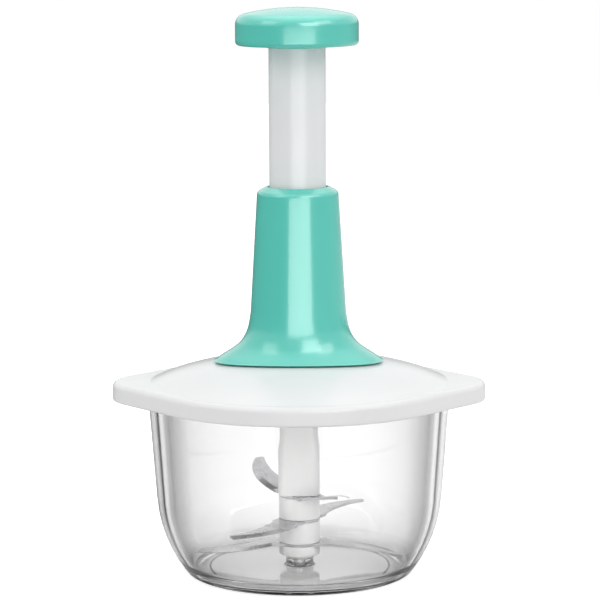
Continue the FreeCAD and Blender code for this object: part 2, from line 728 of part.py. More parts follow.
def knob_screw():
    seat = knob_screw_seat_z
    head_top = seat + KNOB_SCREW_HEAD_HEIGHT
    tip = seat - KNOB_WEB - KNOB_SCREW_LENGTH
    corners = [
        (0.0, tip),
        (KNOB_SCREW_RADIUS, tip),
        (KNOB_SCREW_RADIUS, seat),
        (KNOB_SCREW_HEAD, seat),
        (KNOB_SCREW_HEAD, head_top),
        (0.0, head_top),
    ]
    return turned(corners, [0.0, KNOB_SCREW_RADIUS / 2, 0.0, 0.0, KNOB_SCREW_HEAD_HEIGHT / 2, 0.0])


def tube_top_plug():
    outer = tube_bore - PRESS_GAP
    return ring(outer, KNOB_SCREW_RADIUS + PRESS_GAP, tube_top_z - PLUG_HEIGHT, tube_top_z)


# ------------------------------------------------------------------ return spring
def spring_path(share):
    """A point of the wire's middle line and the turn, from its lower end, share 0, to its upper."""
    turns = SPRING_ACTIVE_TURNS + 2 * SPRING_END_TURNS
    turn = share * turns
    low = spring_seat_z + SEAT_GAP + SPRING_WIRE_RADIUS
    high = nut_z - SEAT_GAP - SPRING_WIRE_RADIUS
    end_rise = 2 * SPRING_WIRE_RADIUS * SPRING_END_TURNS
    if turn < SPRING_END_TURNS:
        height = low + 2 * SPRING_WIRE_RADIUS * turn
    elif turn > turns - SPRING_END_TURNS:
        height = high - 2 * SPRING_WIRE_RADIUS * (turns - turn)
    else:
        active = (turn - SPRING_END_TURNS) / SPRING_ACTIVE_TURNS
        height = low + end_rise + (high - low - 2 * end_rise) * active
    return turn, height


def return_spring():
    coil = guide_radius - SPRING_SIDE_GAP - SPRING_WIRE_RADIUS
    steps = int((SPRING_ACTIVE_TURNS + 2 * SPRING_END_TURNS) * SPRING_STEPS_PER_TURN)
    sections = []
    for i in range(steps + 1):
        turn, height = spring_path(i / steps)
        angle = 2 * math.pi * turn
        outward = V(math.cos(angle), math.sin(angle), 0)
        middle = outward * coil + V(0, 0, height)
        points = []
        for k in range(SPRING_WIRE_SIDES + 1):
            around = 2 * math.pi * (k + 0.5) / SPRING_WIRE_SIDES
            across = outward * (SPRING_WIRE_RADIUS * math.cos(around))
            points.append(middle + across + V(0, 0, SPRING_WIRE_RADIUS * math.sin(around)))
        sections.append(Part.makePolygon(points))
    return Part.makeLoft(sections, True, True)


def spring_seat_washer():
    inner = guide_radius - 2 * SPRING_SIDE_GAP - 3 * SPRING_WIRE_RADIUS
    return ring(guide_radius, inner, cup_floor_z, spring_seat_z)


# ------------------------------------------------------------------ drive
def twisted_bar(width, thickness, bottom, top):
    """A flat bar that turns once about Z in each lead, untwisted at the drive hub's top."""
    count = math.ceil((top - bottom) / TWIST_LEAD * 360 / TWIST_STEP)
    sections = []
    for i in range(count + 1):
        height = bottom + (top - bottom) * i / count
        angle = 2 * math.pi * (height - twist_z) / TWIST_LEAD
        along = V(math.cos(angle), math.sin(angle), 0) * (width / 2)
        across = V(-math.sin(angle), math.cos(angle), 0) * (thickness / 2)
        middle = V(0, 0, height)
        corners = [middle + along + across, middle - along + across]
        corners += [middle - along - across, middle + along - across]
        sections.append(Part.makePolygon(corners + [corners[0]]))
    return Part.makeLoft(sections, True, False)


def twisted_drive_strip():
    half_width, half = STRIP_WIDTH / 2, STRIP_THICKNESS / 2
    tang = block(-half_width, half_width, -half, half, twist_z - STRIP_TANG, twist_z)
    strip = tang.fuse(twisted_bar(STRIP_WIDTH, STRIP_THICKNESS, twist_z, strip_top_z))
    return strip.cut(cross_pin(PRESS_GAP)).removeSplitter()


def cross_pin(extra=0.0):
    length = 2 * DRIVE_HUB_RADIUS
    start = V(0, -length / 2, cross_pin_z)
    return Part.makeCylinder(CROSS_PIN_RADIUS + extra, length, start, V(0, 1, 0))


def drive_base():
    """Carries the strip above and the hex spindle below, and turns in the lid's bearing."""
    groove = JOURNAL_RADIUS - CLIP_GROOVE_DEPTH
    corners = [
        (0.0, journal_end_z),
        (JOURNAL_RADIUS, journal_end_z),
        (JOURNAL_RADIUS, clip_z - SEAT_GAP),
        (groove, clip_z - SEAT_GAP),
        (groove, clip_z + CLIP + SEAT_GAP),
        (JOURNAL_RADIUS, clip_z + CLIP + SEAT_GAP),
        (JOURNAL_RADIUS, drive_z),
        (DRIVE_DISC_RADIUS, drive_z),
        (DRIVE_DISC_RADIUS, drive_hub_z),
        (DRIVE_HUB_RADIUS, drive_hub_z),
        (DRIVE_HUB_RADIUS, drive_top_z),
        (0.0, drive_top_z),
    ]
    base = turned(corners)
    base = base.cut(hexagon(HEX_ACROSS + 2 * PRESS_GAP, journal_end_z, spindle_top_z + SEAT_GAP))
    half_width = STRIP_WIDTH / 2 + PRESS_GAP
    half = STRIP_THICKNESS / 2 + PRESS_GAP
    slot_z = twist_z - STRIP_TANG - SEAT_GAP
    base = base.cut(block(-half_width, half_width, -half, half, slot_z, drive_top_z))
    return base.cut(cross_pin(PRESS_GAP))


def drive_spindle():
    spindle = hexagon(HEX_ACROSS, spindle_end_z, spindle_top_z)
    reach = HEX_ACROSS / 2
    tip = turned([
        (0.0, spindle_end_z),
        (reach - SPINDLE_CHAMFER, spindle_end_z),
        (HEX_ACROSS, spindle_end_z + HEX_ACROSS - reach + SPINDLE_CHAMFER),
        (HEX_ACROSS, spindle_top_z),
        (0.0, spindle_top_z),
    ])
    return spindle.common(tip)


def drive_bearing_bush():
    outer = bearing_bore - PRESS_GAP
    bush = ring(outer, JOURNAL_RADIUS + RUNNING_GAP, bearing_bottom_z, cup_floor_z + BUSH_FLANGE)
    flange = ring(outer + BUSH_FLANGE_WIDTH, outer, cup_floor_z + SEAT_GAP, cup_floor_z + BUSH_FLANGE)
    return bush.fuse(flange).removeSplitter()


def drive_thrust_washer():
    bottom = cup_floor_z + BUSH_FLANGE
    return ring(DRIVE_DISC_RADIUS, JOURNAL_RADIUS + RUNNING_GAP, bottom + SEAT_GAP, washer_top_z)


def drive_circlip():
    """A snap ring with one open side, in the journal's groove."""
    bore = JOURNAL_RADIUS - CLIP_GROOVE_DEPTH + PRESS_GAP
    clip = ring(CLIP_RADIUS, bore, clip_z, clip_z + CLIP)
    mouth = CLIP_OPENING / 2
    return clip.cut(block(0, CLIP_RADIUS, -mouth, mouth, clip_z, clip_z + CLIP))


# ------------------------------------------------------------------ blades
def rounded_square(width, height):
    half = width / 2
    flat = half - HUB_CORNER_ROUND
    bulge = flat + HUB_CORNER_ROUND * math.sqrt(0.5)
    edges = []
    for quarter in range(4):
        start, middle, end = V(half, flat, height), V(bulge, bulge, height), V(flat, half, height)
        side_end = V(-flat, half, height)
        arc = Part.Arc(start, middle, end).toShape()
        side = Part.LineSegment(end, side_end).toShape()
        for edge in (arc, side):
            edge.rotate(ORIGIN, UP, 90 * quarter)
            edges.append(edge)
    return Part.Wire(edges)


def stem_solid(gap, bottom, top):
    """A round bar with two flats, which keys the blades to the hub."""
    flat = STEM_FLAT + gap
    reach = STEM_RADIUS + gap
    return disc(reach, bottom, top).common(block(-reach, reach, -flat, flat, bottom, top))


def pivot_bore_top():
    return boss_top_z + PIN_REACH + PIVOT_BORE_SPARE


def blade_hub():
    body = prism(rounded_square(HUB_WIDTH, stem_top_z), hub_side_z - stem_top_z)
    neck_foot = rounded_square(HUB_NECK_WIDTH, neck_end_z)
    taper = Part.makeLoft([rounded_square(HUB_WIDTH, hub_side_z), neck_foot], True, True)
    neck = prism(neck_foot, hub_top_z - neck_end_z)
    body = body.fuse(taper).fuse(neck)
    body = body.fuse(stem_solid(0.0, stem_end_z, stem_top_z))
    socket_end = spindle_end_z - HUB_SOCKET_SPARE
    body = body.cut(hexagon(HEX_ACROSS + 2 * SLIP_GAP, socket_end, hub_top_z))
    bush_top = boss_top_z + PIN_REACH
    body = body.cut(disc(PIN_RADIUS + RUNNING_GAP + PIVOT_BUSH_WALL + PRESS_GAP, stem_end_z, bush_top))
    body = body.cut(disc(PIN_RADIUS + SLIP_GAP, bush_top, pivot_bore_top()))
    return body.removeSplitter()


def hub_pivot_bush():
    inner = PIN_RADIUS + RUNNING_GAP
    bottom = boss_top_z + SEAT_GAP
    corners = [
        (inner, bottom),
        (PIVOT_BUSH_FLANGE_RADIUS, bottom),
        (PIVOT_BUSH_FLANGE_RADIUS, stem_end_z),
        (inner + PIVOT_BUSH_WALL, stem_end_z),
        (inner + PIVOT_BUSH_WALL, boss_top_z + PIN_REACH - SEAT_GAP),
        (inner, boss_top_z + PIN_REACH - SEAT_GAP),
    ]
    return turned(corners)


def blade_level(index):
    return first_blade_z + index * (BLADE_THICKNESS + BLADE_SPACING)


def blade_arm(reach, tilt):
    """One sickle-shaped arm along +X, ground to an edge on its +Y side and bent at its root."""
    inner = BLADE_BEND - BLADE_THICKNESS
    length = reach - inner
    front_root = V(inner, BLADE_ROOT, 0)
    belly = V(inner + length * BLADE_BELLY[0], BLADE_BELLY[1], 0)
    tip = V(reach, -BLADE_TIP[0], 0)
    back_tip = V(reach - BLADE_TIP[1], -BLADE_ROOT, 0)
    hollow = V(inner + length * BLADE_BACK[0], -BLADE_BACK[1], 0)
    back_root = V(inner, -BLADE_ROOT, 0)
    front = Part.Arc(front_root, belly, tip).toShape()
    end = Part.LineSegment(tip, back_tip).toShape()
    back = Part.Arc(back_tip, hollow, back_root).toShape()
    heel = Part.LineSegment(back_root, front_root).toShape()
    arm = prism(Part.Wire([front, end, back, heel]), BLADE_THICKNESS)
    on_top = [edge for edge in arm.Edges if edge.BoundBox.ZMin > BLADE_THICKNESS - SAME_LEVEL]
    ground = max(on_top, key=lambda edge: edge.CenterOfMass.y)
    arm = arm.makeChamfer(BLADE_THICKNESS - BLADE_EDGE, BLADE_BEVEL, [ground])
    arm.rotate(V(BLADE_BEND, 0, BLADE_THICKNESS / 2), V(0, 1, 0), tilt)
    return arm


def blade(name):
    """A plate keyed to the stem, with two bent arms half a turn apart."""
    shape = BLADES[name]
    level = blade_level(list(BLADES).index(name))
    heel = BLADE_BEND + BLADE_THICKNESS / 4
    plate = block(-heel, heel, -BLADE_ROOT, BLADE_ROOT, 0, BLADE_THICKNESS)
    plate = plate.fuse(disc(BLADE_RING_RADIUS, 0, BLADE_THICKNESS))
    arm = blade_arm(shape["reach"], shape["tilt"])
    plate = at_angle(plate.fuse(arm).fuse(at_angle(arm, 180)), shape["turn"])
    plate = plate.cut(stem_solid(STEM_GAP, 0, BLADE_THICKNESS))
    return plate.removeSplitter().translated(V(0, 0, level))


def blade_spacer(index):
    bottom = blade_level(index) + BLADE_THICKNESS
    sleeve = disc(BLADE_RING_RADIUS, bottom, bottom + BLADE_SPACING)
    return sleeve.cut(stem_solid(STEM_GAP, bottom, bottom + BLADE_SPACING))


def hub_foot_ring():
    sleeve = disc(BLADE_RING_RADIUS, foot_ring_z, first_blade_z)
    return sleeve.cut(stem_solid(STEM_GAP, foot_ring_z, first_blade_z))


PIECES = {
    "bowl": bowl,
    "bowl_pivot_pin": bowl_pivot_pin,
    "lid": lid,
    "lid_seal_ring": lid_seal_ring,
    "tower_housing": tower_housing,
    "tower_screws": tower_screws,
    "tube_guide_bush": tube_guide_bush,
    "spring_seat_washer": spring_seat_washer,
    "drive_bearing_bush": drive_bearing_bush,
    "plunger_tube": plunger_tube,
    "drive_nut": drive_nut,
    "nut_pins": nut_pins,
    "return_spring": return_spring,
    "tube_top_plug": tube_top_plug,
    "knob_base": knob_base,
    "knob_screw": knob_screw,
    "knob_cap": knob_cap,
    "twisted_drive_strip": twisted_drive_strip,
    "drive_base": drive_base,
    "strip_cross_pin": cross_pin,
    "drive_thrust_washer": drive_thrust_washer,
    "drive_spindle": drive_spindle,
    "drive_circlip": drive_circlip,
    "blade_hub": blade_hub,
    "hub_pivot_bush": hub_pivot_bush,
    "hub_foot_ring": hub_foot_ring,
    "blade_spacer_lower": lambda: blade_spacer(0),
    "blade_spacer_upper": lambda: blade_spacer(1),
    "lower_blade": lambda: blade("lower_blade"),
    "middle_blade": lambda: blade("middle_blade"),
    "upper_blade": lambda: blade("upper_blade"),
}

os.makedirs("parts", exist_ok=True)
for node, make in PIECES.items():
    make().exportStep(f"parts/{node}.step")
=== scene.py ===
import json
import math
from functools import partial

import bmesh
import bpy
from mathutils import Matrix, Vector

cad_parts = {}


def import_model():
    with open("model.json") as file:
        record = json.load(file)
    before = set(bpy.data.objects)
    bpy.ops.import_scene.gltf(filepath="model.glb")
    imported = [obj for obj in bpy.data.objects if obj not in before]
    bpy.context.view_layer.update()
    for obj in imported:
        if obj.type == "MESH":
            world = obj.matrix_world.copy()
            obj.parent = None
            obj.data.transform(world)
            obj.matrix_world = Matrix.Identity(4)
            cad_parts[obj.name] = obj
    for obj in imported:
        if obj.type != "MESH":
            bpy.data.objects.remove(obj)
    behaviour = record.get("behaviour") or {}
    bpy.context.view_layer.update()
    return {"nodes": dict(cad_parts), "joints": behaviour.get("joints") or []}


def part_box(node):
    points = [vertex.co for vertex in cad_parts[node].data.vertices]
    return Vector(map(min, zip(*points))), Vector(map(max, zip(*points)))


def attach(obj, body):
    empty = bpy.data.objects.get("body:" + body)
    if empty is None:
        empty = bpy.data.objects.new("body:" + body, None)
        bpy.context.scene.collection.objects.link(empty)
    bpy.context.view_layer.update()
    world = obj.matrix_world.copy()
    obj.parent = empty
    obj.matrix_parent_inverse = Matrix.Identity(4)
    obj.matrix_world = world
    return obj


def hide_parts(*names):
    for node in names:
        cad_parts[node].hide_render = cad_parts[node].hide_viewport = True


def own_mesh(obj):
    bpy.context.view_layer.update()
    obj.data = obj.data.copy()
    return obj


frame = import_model()

# A hand-press food chopper: a clear bowl, a white lid with two ears, a teal tower that flares onto
# the lid, and a teal knob on a white tube. Sizes below are in millimetres, as the frame's are once
# node_box has read them, and every mesh is brought to metres when it is made.
MM = 0.001
UP = Vector((0, 0, 1))


def node_box(node):
    """A node's lowest and highest corner in millimetres."""
    low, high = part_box(node)
    return low / MM, high / MM


def new_object(name, data):
    thing = bpy.data.objects.new(name, data)
    bpy.context.scene.collection.objects.link(thing)
    return thing


# ---------------------------------------- sizes read from the frame
bowl_high = node_box("bowl")[1]
lid_low, lid_high = node_box("lid")
tower_high = node_box("tower_housing")[1]
tube_low, tube_high = node_box("plunger_tube")
knob_low, knob_high = node_box("knob_cap")
base_low, base_high = node_box("knob_base")
hub_low, hub_high = node_box("blade_hub")
seal_low, seal_high = node_box("lid_seal_ring")
bush_low, bush_high = node_box("tube_guide_bush")
spring_low, spring_high = node_box("return_spring")
strip_low, strip_high = node_box("twisted_drive_strip")
screw_high = node_box("tower_screws")[1]

# ---------------------------------------- drawing
FULL_TURN = 2 * math.pi
QUARTER_TURN = math.pi / 2
ARC_STEP = math.radians(6)  # most that a round turns between two points
SUPPORT = 0.25  # points this near a round hold its shading
SHARP_ANGLE = math.radians(38)
WELD = 1e-6  # metres
TURNED_SEGMENTS = 144
SMALL_SEGMENTS = 64
SEAL_SEGMENTS = 240
REST_GAP = 0.05  # between faces that rest on each other
PRESS_GAP = 0.02  # round what is pressed in
TINY = 1e-6  # keeps a division away from zero

# ---------------------------------------- bowl
BOWL_SHOULDER_RADIUS = 62.5
BOWL_SHOULDER_HEIGHT = 17.0
BOWL_FOOT_RADIUS = 50.0
BOWL_SHOULDER_ROUND = 60.0
BOWL_FOOT_ROUND = 4.0
BOWL_INNER_FOOT_ROUND = 14.0
BOWL_RIM_ROUND = 1.1
BOWL_WALL = 2.7
BOWL_FLOOR = 2.6
FOOT_RING_WIDTH = 5.0
FOOT_RECESS = 0.8
FOOT_EDGE_ROUND = 0.35
BOSS_RADIUS = 6.2
BOSS_TOP = 6.0
BOSS_ROUND = 1.1
PIN_HOLE_RADIUS = 2.52
PIN_HOLE_FLOOR = 1.5

# ---------------------------------------- lid
LID_PLATE = 2.45
LID_TOP_ROUND = 2.6
LID_LOWER_ROUND = 1.1
EAR_RADIUS = 22.0
EAR_OFFSET = 61.3
EAR_WALL = 1.8
DOME_INSET = 2.9
DOME_CROWN = 10.4
DOME_SHOULDER = 1.5
DOME_SHOULDER_POWER = 10
DOME_WALL = 2.2
DOME_BLEND = 0.9  # soft valley where the dome meets the flat ears
SKIRT_WALL = 1.5
PLUG_OUTER = 62.9
PLUG_INNER = 60.5
PLUG_BOTTOM = 78.15
PLUG_ROUND = 0.5
SEAL_SEAT = (79.55, 82.35)
SEAL_SEAT_DEPTH = 1.1
CUP_RADIUS = 18.0
CUP_BORE = 16.0
CUP_FLOOR = (83.6, 86.0)
COLLAR_RISE = 2.4
BEARING_RADIUS = 9.78
BEARING_BORE = 6.98
BEARING_BOTTOM = 79.0
LID_RIBS = 6
LID_RIB_WALL = 1.6
LID_RIB_FOOT = 82.4
LID_RIB_TOP = 0.6  # of the dome's wall, below its outside
LID_RIB_ENDS = (1.0, 0.8)  # how far a rib runs into the cup and into the plug ring
RIB_FOOT_ROUND = 0.7  # of half a rib's thickness
EAR_RIBS = 3
EAR_RIB_PITCH = 9.0
LID_SEGMENTS = 320
DOME_STEPS = 40
DOME_UNDER_STEPS = 20
LID_EDGE_STEPS = 10
EAR_SHARES = (0.06, 0.14, 0.25, 0.4, 0.6, 0.8, 0.97, 1.0)  # of the way from the dome to the edge
LEAST_POCKET = 0.8  # the hollow under an ear starts where it is this wide

# ---------------------------------------- tower
FLANGE_HALF_LENGTH = 38.1
FLANGE_HALF_WIDTH = 28.0
FLANGE_GAP = 0.35
FLARE_RISE = 23.0
FLARE_SHAPE = (  # share of the flare's height, share of its spread
    (0.0, 1.012), (0.05, 0.93), (0.13, 0.785), (0.25, 0.525), (0.37, 0.315), (0.51, 0.175),
    (0.67, 0.083), (0.84, 0.032), (1.0, 0.0),
)
FLARE_STEPS = 8  # points between two of the shape's places
FLARE_CORE_DROP = 0.9  # the hollow's flare lies this much lower
FLANGE_LIP = ((0.6, 0.0), (0.25, 0.06), (0.06, 0.2), (0.0, 0.38))  # points: drawn in, raised
TOWER_WALL = 2.6
TOWER_TAPER = 3.2
TOWER_CHAMFER = 2.6
TOWER_SHOULDER_ROUND = 2.4
TOWER_SEGMENTS = 192
MOUTH_RADIUS = 13.35
MOUTH_ROUND = 0.5
BUSH_BORE = 15.43
BUSH_STEP = 0.1  # the hollow below the bush is this much wider

# ---------------------------------------- plunger
TUBE_WALL = 1.65
TUBE_ROUND = 0.3
KNOB_RADIUS = 27.2
KNOB_SIDE = 13.0
KNOB_TOP_ROUND = 5.0
KNOB_LOWER_ROUND = 2.0
KNOB_WALL = 2.2
KNOB_LEDGE = 0.6
KNOB_BASE_THICKNESS = 2.4
KNOB_SEAM = 0.25  # groove between the cap and its base
KNOB_COLLAR = 0.9
KNOB_COLLAR_DROP = 1.0
KNOB_SLEEVE_WALL = 2.2
KNOB_SCREW_HOLE = 2.0

# ---------------------------------------- spring, strip and screws
SPRING_WIRE = 0.7  # radius
SPRING_END_TURNS = 1.0
SPRING_TURNS = 7.5
SPRING_STEPS = 48  # a turn
WIRE_SIDES = 12
TWIST_LEAD = 44.0
STRIP_WIDTH = 7.0
STRIP_THICKNESS = 2.3
STRIP_ROUND = 0.35
STRIP_TANG = 7.4
STRIP_STEP = 0.5
SCREW_HEAD = 2.9
SCREW_HEAD_HEIGHT = 2.0
SCREW_SHANK = 1.6
SCREW_OFFSET = 26.5
CROSS_ARM = 1.75
CROSS_WIDTH = 0.42  # half the width of an arm of the cross
CROSS_DEPTH = 1.1
CROSS_LEVELS = ((0.5, 0.8, 1.0), (0.85, 0.85, 0.6), (1.0, 1.0, 0.0))  # of arm, width and depth
CROSS_LAND = 0.15  # flat rim round the cross
SCREW_BOSS = 3.7
SCREW_HOLE = 1.8
SCREW_DROP = 6.5  # lid boss below the dome's top
SCREW_BOSS_TOP = 0.5  # of the dome's wall, below its outside

# ---------------------------------------- blade column
HUB_WIDTH = 18.3
HUB_NECK_WIDTH = 16.9
HUB_CORNER_ROUND = 3.2
HUB_EDGE_ROUND = 0.5
HUB_STEM_LENGTH = 28.6
HUB_NECK_LENGTH = 15.1
HUB_TAPER_LENGTH = 4.9
HEX_SOCKET = 7.4
HEX_SOCKET_DEPTH = 12.1
STEM_RADIUS = 7.0
STEM_FLAT = 5.8
PIVOT_BORE = 3.98
PIVOT_BORE_DEPTH = 13.0
PIN_CLEARANCE = (2.7, 14.0)  # radius and depth of the bore past the bush
STACK_RADIUS = 9.15
STACK_EDGE_ROUND = 0.45
HUB_SEGMENTS = 192
HUB_SHARP_ANGLE = math.radians(30)
EDGE_STEPS = 4  # in a round of the column's edges


# ---------------------------------------- outlines
def rounded_profile(corners, closed=False):
    """Points (radius, height) along an outline, given as each corner and its round. The rounds take
    fine steps, and a straight run keeps a point near each end so that its shading stays flat."""
    points = [Vector(corner) for corner in corners]
    count = len(points)
    runs = []
    for i, (point, radius) in enumerate(zip(points, corners.values())):
        if not radius or (not closed and i in (0, count - 1)):
            runs.append([point])
            continue
        to_last = (points[i - 1] - point).normalized()
        to_next = (points[(i + 1) % count] - point).normalized()
        half = to_last.angle(to_next) / 2
        length = radius / math.tan(half)
        centre = point + (to_last + to_next).normalized() * (radius / math.sin(half))
        start = point + to_last * length - centre
        turn = start.angle_signed(point + to_next * length - centre)
        steps = max(2, math.ceil(abs(turn) / ARC_STEP))
        arc = []
        for k in range(steps + 1):
            spoke = start.copy()
            spoke.rotate(Matrix.Rotation(-turn * k / steps, 2))
            arc.append(centre + spoke)
        runs.append(arc)
    outline = []
    for i, run in enumerate(runs):
        outline += run
        if i == count - 1 and not closed:
            break
        gap = runs[(i + 1) % count][0] - run[-1]
        if gap.length > 4 * SUPPORT:
            outline.append(run[-1] + gap.normalized() * SUPPORT)
            outline.append(run[-1] + gap.normalized() * (gap.length - SUPPORT))
    if closed:
        outline.append(outline[0])
    return [tuple(point) for point in outline]


def oblong(left, right, low, high, rounds):
    """A closed outline with four corners, from the lower left one on."""
    corners = (left, low), (right, low), (right, high), (left, high)
    return rounded_profile(dict(zip(corners, rounds)), closed=True)


def arc_points(centre, radius, start, end):
    """Points (radius, height) along an arc given by its centre and two angles in radians."""
    steps = max(2, math.ceil(abs(end - start) / ARC_STEP * 2))
    angles = [start + (end - start) * k / steps for k in range(steps + 1)]
    return [(centre[0] + radius * math.cos(a), centre[1] + radius * math.sin(a)) for a in angles]


def smooth_through(places, steps):
    """Points on a curve through the given places, with slopes that never overshoot."""
    slopes = []
    for i in range(len(places)):
        last = places[max(i - 1, 0)]
        following = places[min(i + 1, len(places) - 1)]
        slopes.append((following[1] - last[1]) / (following[0] - last[0]))
    curve = []
    for i in range(len(places) - 1):
        (x0, y0), (x1, y1) = places[i], places[i + 1]
        for k in range(steps):
            t = k / steps
            rise = (2 * t**3 - 3 * t**2 + 1) * y0 + (3 * t**2 - 2 * t**3) * y1
            lean = (t**3 - 2 * t**2 + t) * slopes[i] + (t**3 - t**2) * slopes[i + 1]
            curve.append((x0 + (x1 - x0) * t, rise + lean * (x1 - x0)))
    return curve + [places[-1]]


def inset_corner(last, corner, following, distance):
    """The corner of a wall's inner line, parallel to two outer lines that run outward and up."""
    first = Vector((corner[0] - last[0], corner[1] - last[1])).normalized()
    second = Vector((following[0] - corner[0], following[1] - corner[1])).normalized()
    across = Vector((-first.y, first.x))
    bisector = (across + Vector((-second.y, second.x))).normalized()
    reach = distance / bisector.dot(across)
    return corner[0] + bisector.x * reach, corner[1] + bisector.y * reach


# ---------------------------------------- node trees
class Formula:
    """A socket's value, which arithmetic can be written with."""

    def __init__(self, socket):
        self.socket = socket
        self.tree = socket.id_data

    def math(self, operation, *others):
        values = dict(enumerate((self, *others)))
        return result(self.tree, "ShaderNodeMath", values, operation=operation)

    def flipped(self):
        """1 less the value."""
        return self * -1.0 + 1.0

    def __add__(self, other):
        return self.math("ADD", other)

    def __sub__(self, other):
        return self.math("SUBTRACT", other)

    def __mul__(self, other):
        return self.math("MULTIPLY", other)

    def __truediv__(self, other):
        return self.math("DIVIDE", other)


def give(node, inputs):
    """Links or sets a node's inputs, by name or number."""
    for place, value in inputs.items():
        if isinstance(value, Formula):
            node.id_data.links.new(value.socket, node.inputs[place])
        else:
            node.inputs[place].default_value = value


def add_node(tree, kind, inputs=None, **settings):
    """A new node with its settings made and its inputs given."""
    node = tree.nodes.new(kind)
    for setting, value in settings.items():
        setattr(node, setting, value)
    give(node, inputs or {})
    return node


def result(tree, kind, inputs=None, output=0, **settings):
    """What a new node gives at one of its outputs."""
    return Formula(add_node(tree, kind, inputs, **settings).outputs[output])


def vector_math(operation, *values, output=0):
    return result(values[0].tree, "ShaderNodeVectorMath", dict(enumerate(values)), output,
                  operation=operation)


def apart(vector):
    """A vector's X, Y and Z."""
    parts = add_node(vector.tree, "ShaderNodeSeparateXYZ", {0: vector})
    return [Formula(socket) for socket in parts.outputs]


def round_axis(radius, angle, height):
    """The place at a radius, an angle about Z and a height."""
    return result(angle.tree, "ShaderNodeCombineXYZ", {
        "X": radius * angle.math("COSINE"), "Y": radius * angle.math("SINE"), "Z": height})


def shape_tree(name, inputs):
    """A geometry tree with named inputs. Returns the tree and its inputs by name."""
    tree = bpy.data.node_groups.new(name, "GeometryNodeTree")
    for label, kind in {"Geometry": "Geometry", **inputs, "Material": "Material"}.items():
        tree.interface.new_socket(label, in_out="INPUT", socket_type="NodeSocket" + kind)
    tree.interface.new_socket("Geometry", in_out="OUTPUT", socket_type="NodeSocketGeometry")
    entry = tree.nodes.new("NodeGroupInput")
    return tree, {socket.name: Formula(socket) for socket in entry.outputs if socket.name}


def end_tree(geometry, material):
    """Ends a tree in real, welded geometry with its material."""
    tree = geometry.tree
    real = result(tree, "GeometryNodeRealizeInstances", {"Geometry": geometry})
    welded = result(tree, "GeometryNodeMergeByDistance", {"Geometry": real, "Distance": WELD})
    painted = result(tree, "GeometryNodeSetMaterial", {"Geometry": welded, "Material": material})
    add_node(tree, "NodeGroupOutput", {"Geometry": painted})
    return tree


def moved_to(geometry, place):
    return result(geometry.tree, "GeometryNodeSetPosition",
                  {"Geometry": geometry, "Position": place})


def carried_chain(chain, steps):
    """A grid that carries a chain of points on in steps. Returns it, the step that each of its
    points is at and the point of the chain that it comes from."""
    tree = chain.tree
    levels = steps + 1
    count = result(tree, "GeometryNodeAttributeDomainSize", {"Geometry": chain}, "Point Count")
    grid = result(tree, "GeometryNodeMeshGrid", {"Vertices X": count, "Vertices Y": levels}, "Mesh")
    index = result(tree, "GeometryNodeInputIndex")
    along = (index / levels).math("FLOOR")
    position = result(tree, "GeometryNodeInputPosition")
    point = result(tree, "GeometryNodeSampleIndex",
                   {"Geometry": chain, "Value": position, "Index": along}, data_type="FLOAT_VECTOR")
    return grid, index - along * levels, point


def turned_tree():
    """Turns a chain of points about Z. A point's X is its radius and its Z its height."""
    _, given = shape_tree("Turned shell", {"Segments": "Int"})
    grid, step, point = carried_chain(given["Geometry"], given["Segments"])
    radius, _, height = apart(point)
    place = round_axis(radius, step / given["Segments"] * FULL_TURN, height)
    return end_tree(moved_to(grid, place), given["Material"])


def around_tree():
    """Copies a piece about Z: Count copies, evenly spaced, the first at First Angle."""
    tree, given = shape_tree("Around the axis", {"Count": "Int", "First Angle": "Float"})
    middles = result(tree, "GeometryNodePoints", {"Count": given["Count"]})
    index = result(tree, "GeometryNodeInputIndex")
    angle = index / given["Count"] * FULL_TURN + given["First Angle"]
    turn = result(tree, "ShaderNodeCombineXYZ", {"Z": angle})
    copies = result(tree, "GeometryNodeInstanceOnPoints",
                    {"Points": middles, "Instance": given["Geometry"], "Rotation": turn})
    return end_tree(copies, given["Material"])


def coil_tree():
    """A round wire wound about Z, with closed turns at both ends."""
    tree, given = shape_tree("Wound wire", {
        "Coil Radius": "Float", "Wire Radius": "Float", "Low": "Float", "High": "Float",
        "Turns": "Float", "End Turns": "Float", "Steps": "Int", "Wire Sides": "Int",
    })
    steps, turns, ends = given["Steps"], given["Turns"], given["End Turns"]
    wire, low = given["Wire Radius"], given["Low"]
    line = result(tree, "GeometryNodeMeshLine", {"Count": steps + 1})
    turn = result(tree, "GeometryNodeInputIndex") / steps * turns
    lower = turn.math("MINIMUM", ends)
    upper = (turn - turns + ends).math("MAXIMUM", 0.0)
    active = turn - lower - upper
    free = given["High"] - low - ends * wire * 4.0
    height = low + (lower + upper) * wire * 2.0 + active / (turns - ends * 2.0) * free
    place = round_axis(given["Coil Radius"], turn * FULL_TURN, height)
    path = result(tree, "GeometryNodeMeshToCurve", {"Mesh": moved_to(line, place)})
    section = result(tree, "GeometryNodeCurvePrimitiveCircle",
                     {"Resolution": given["Wire Sides"], "Radius": wire})
    swept = result(tree, "GeometryNodeCurveToMesh",
                   {"Curve": path, "Profile Curve": section, "Fill Caps": True})
    return end_tree(swept, given["Material"])


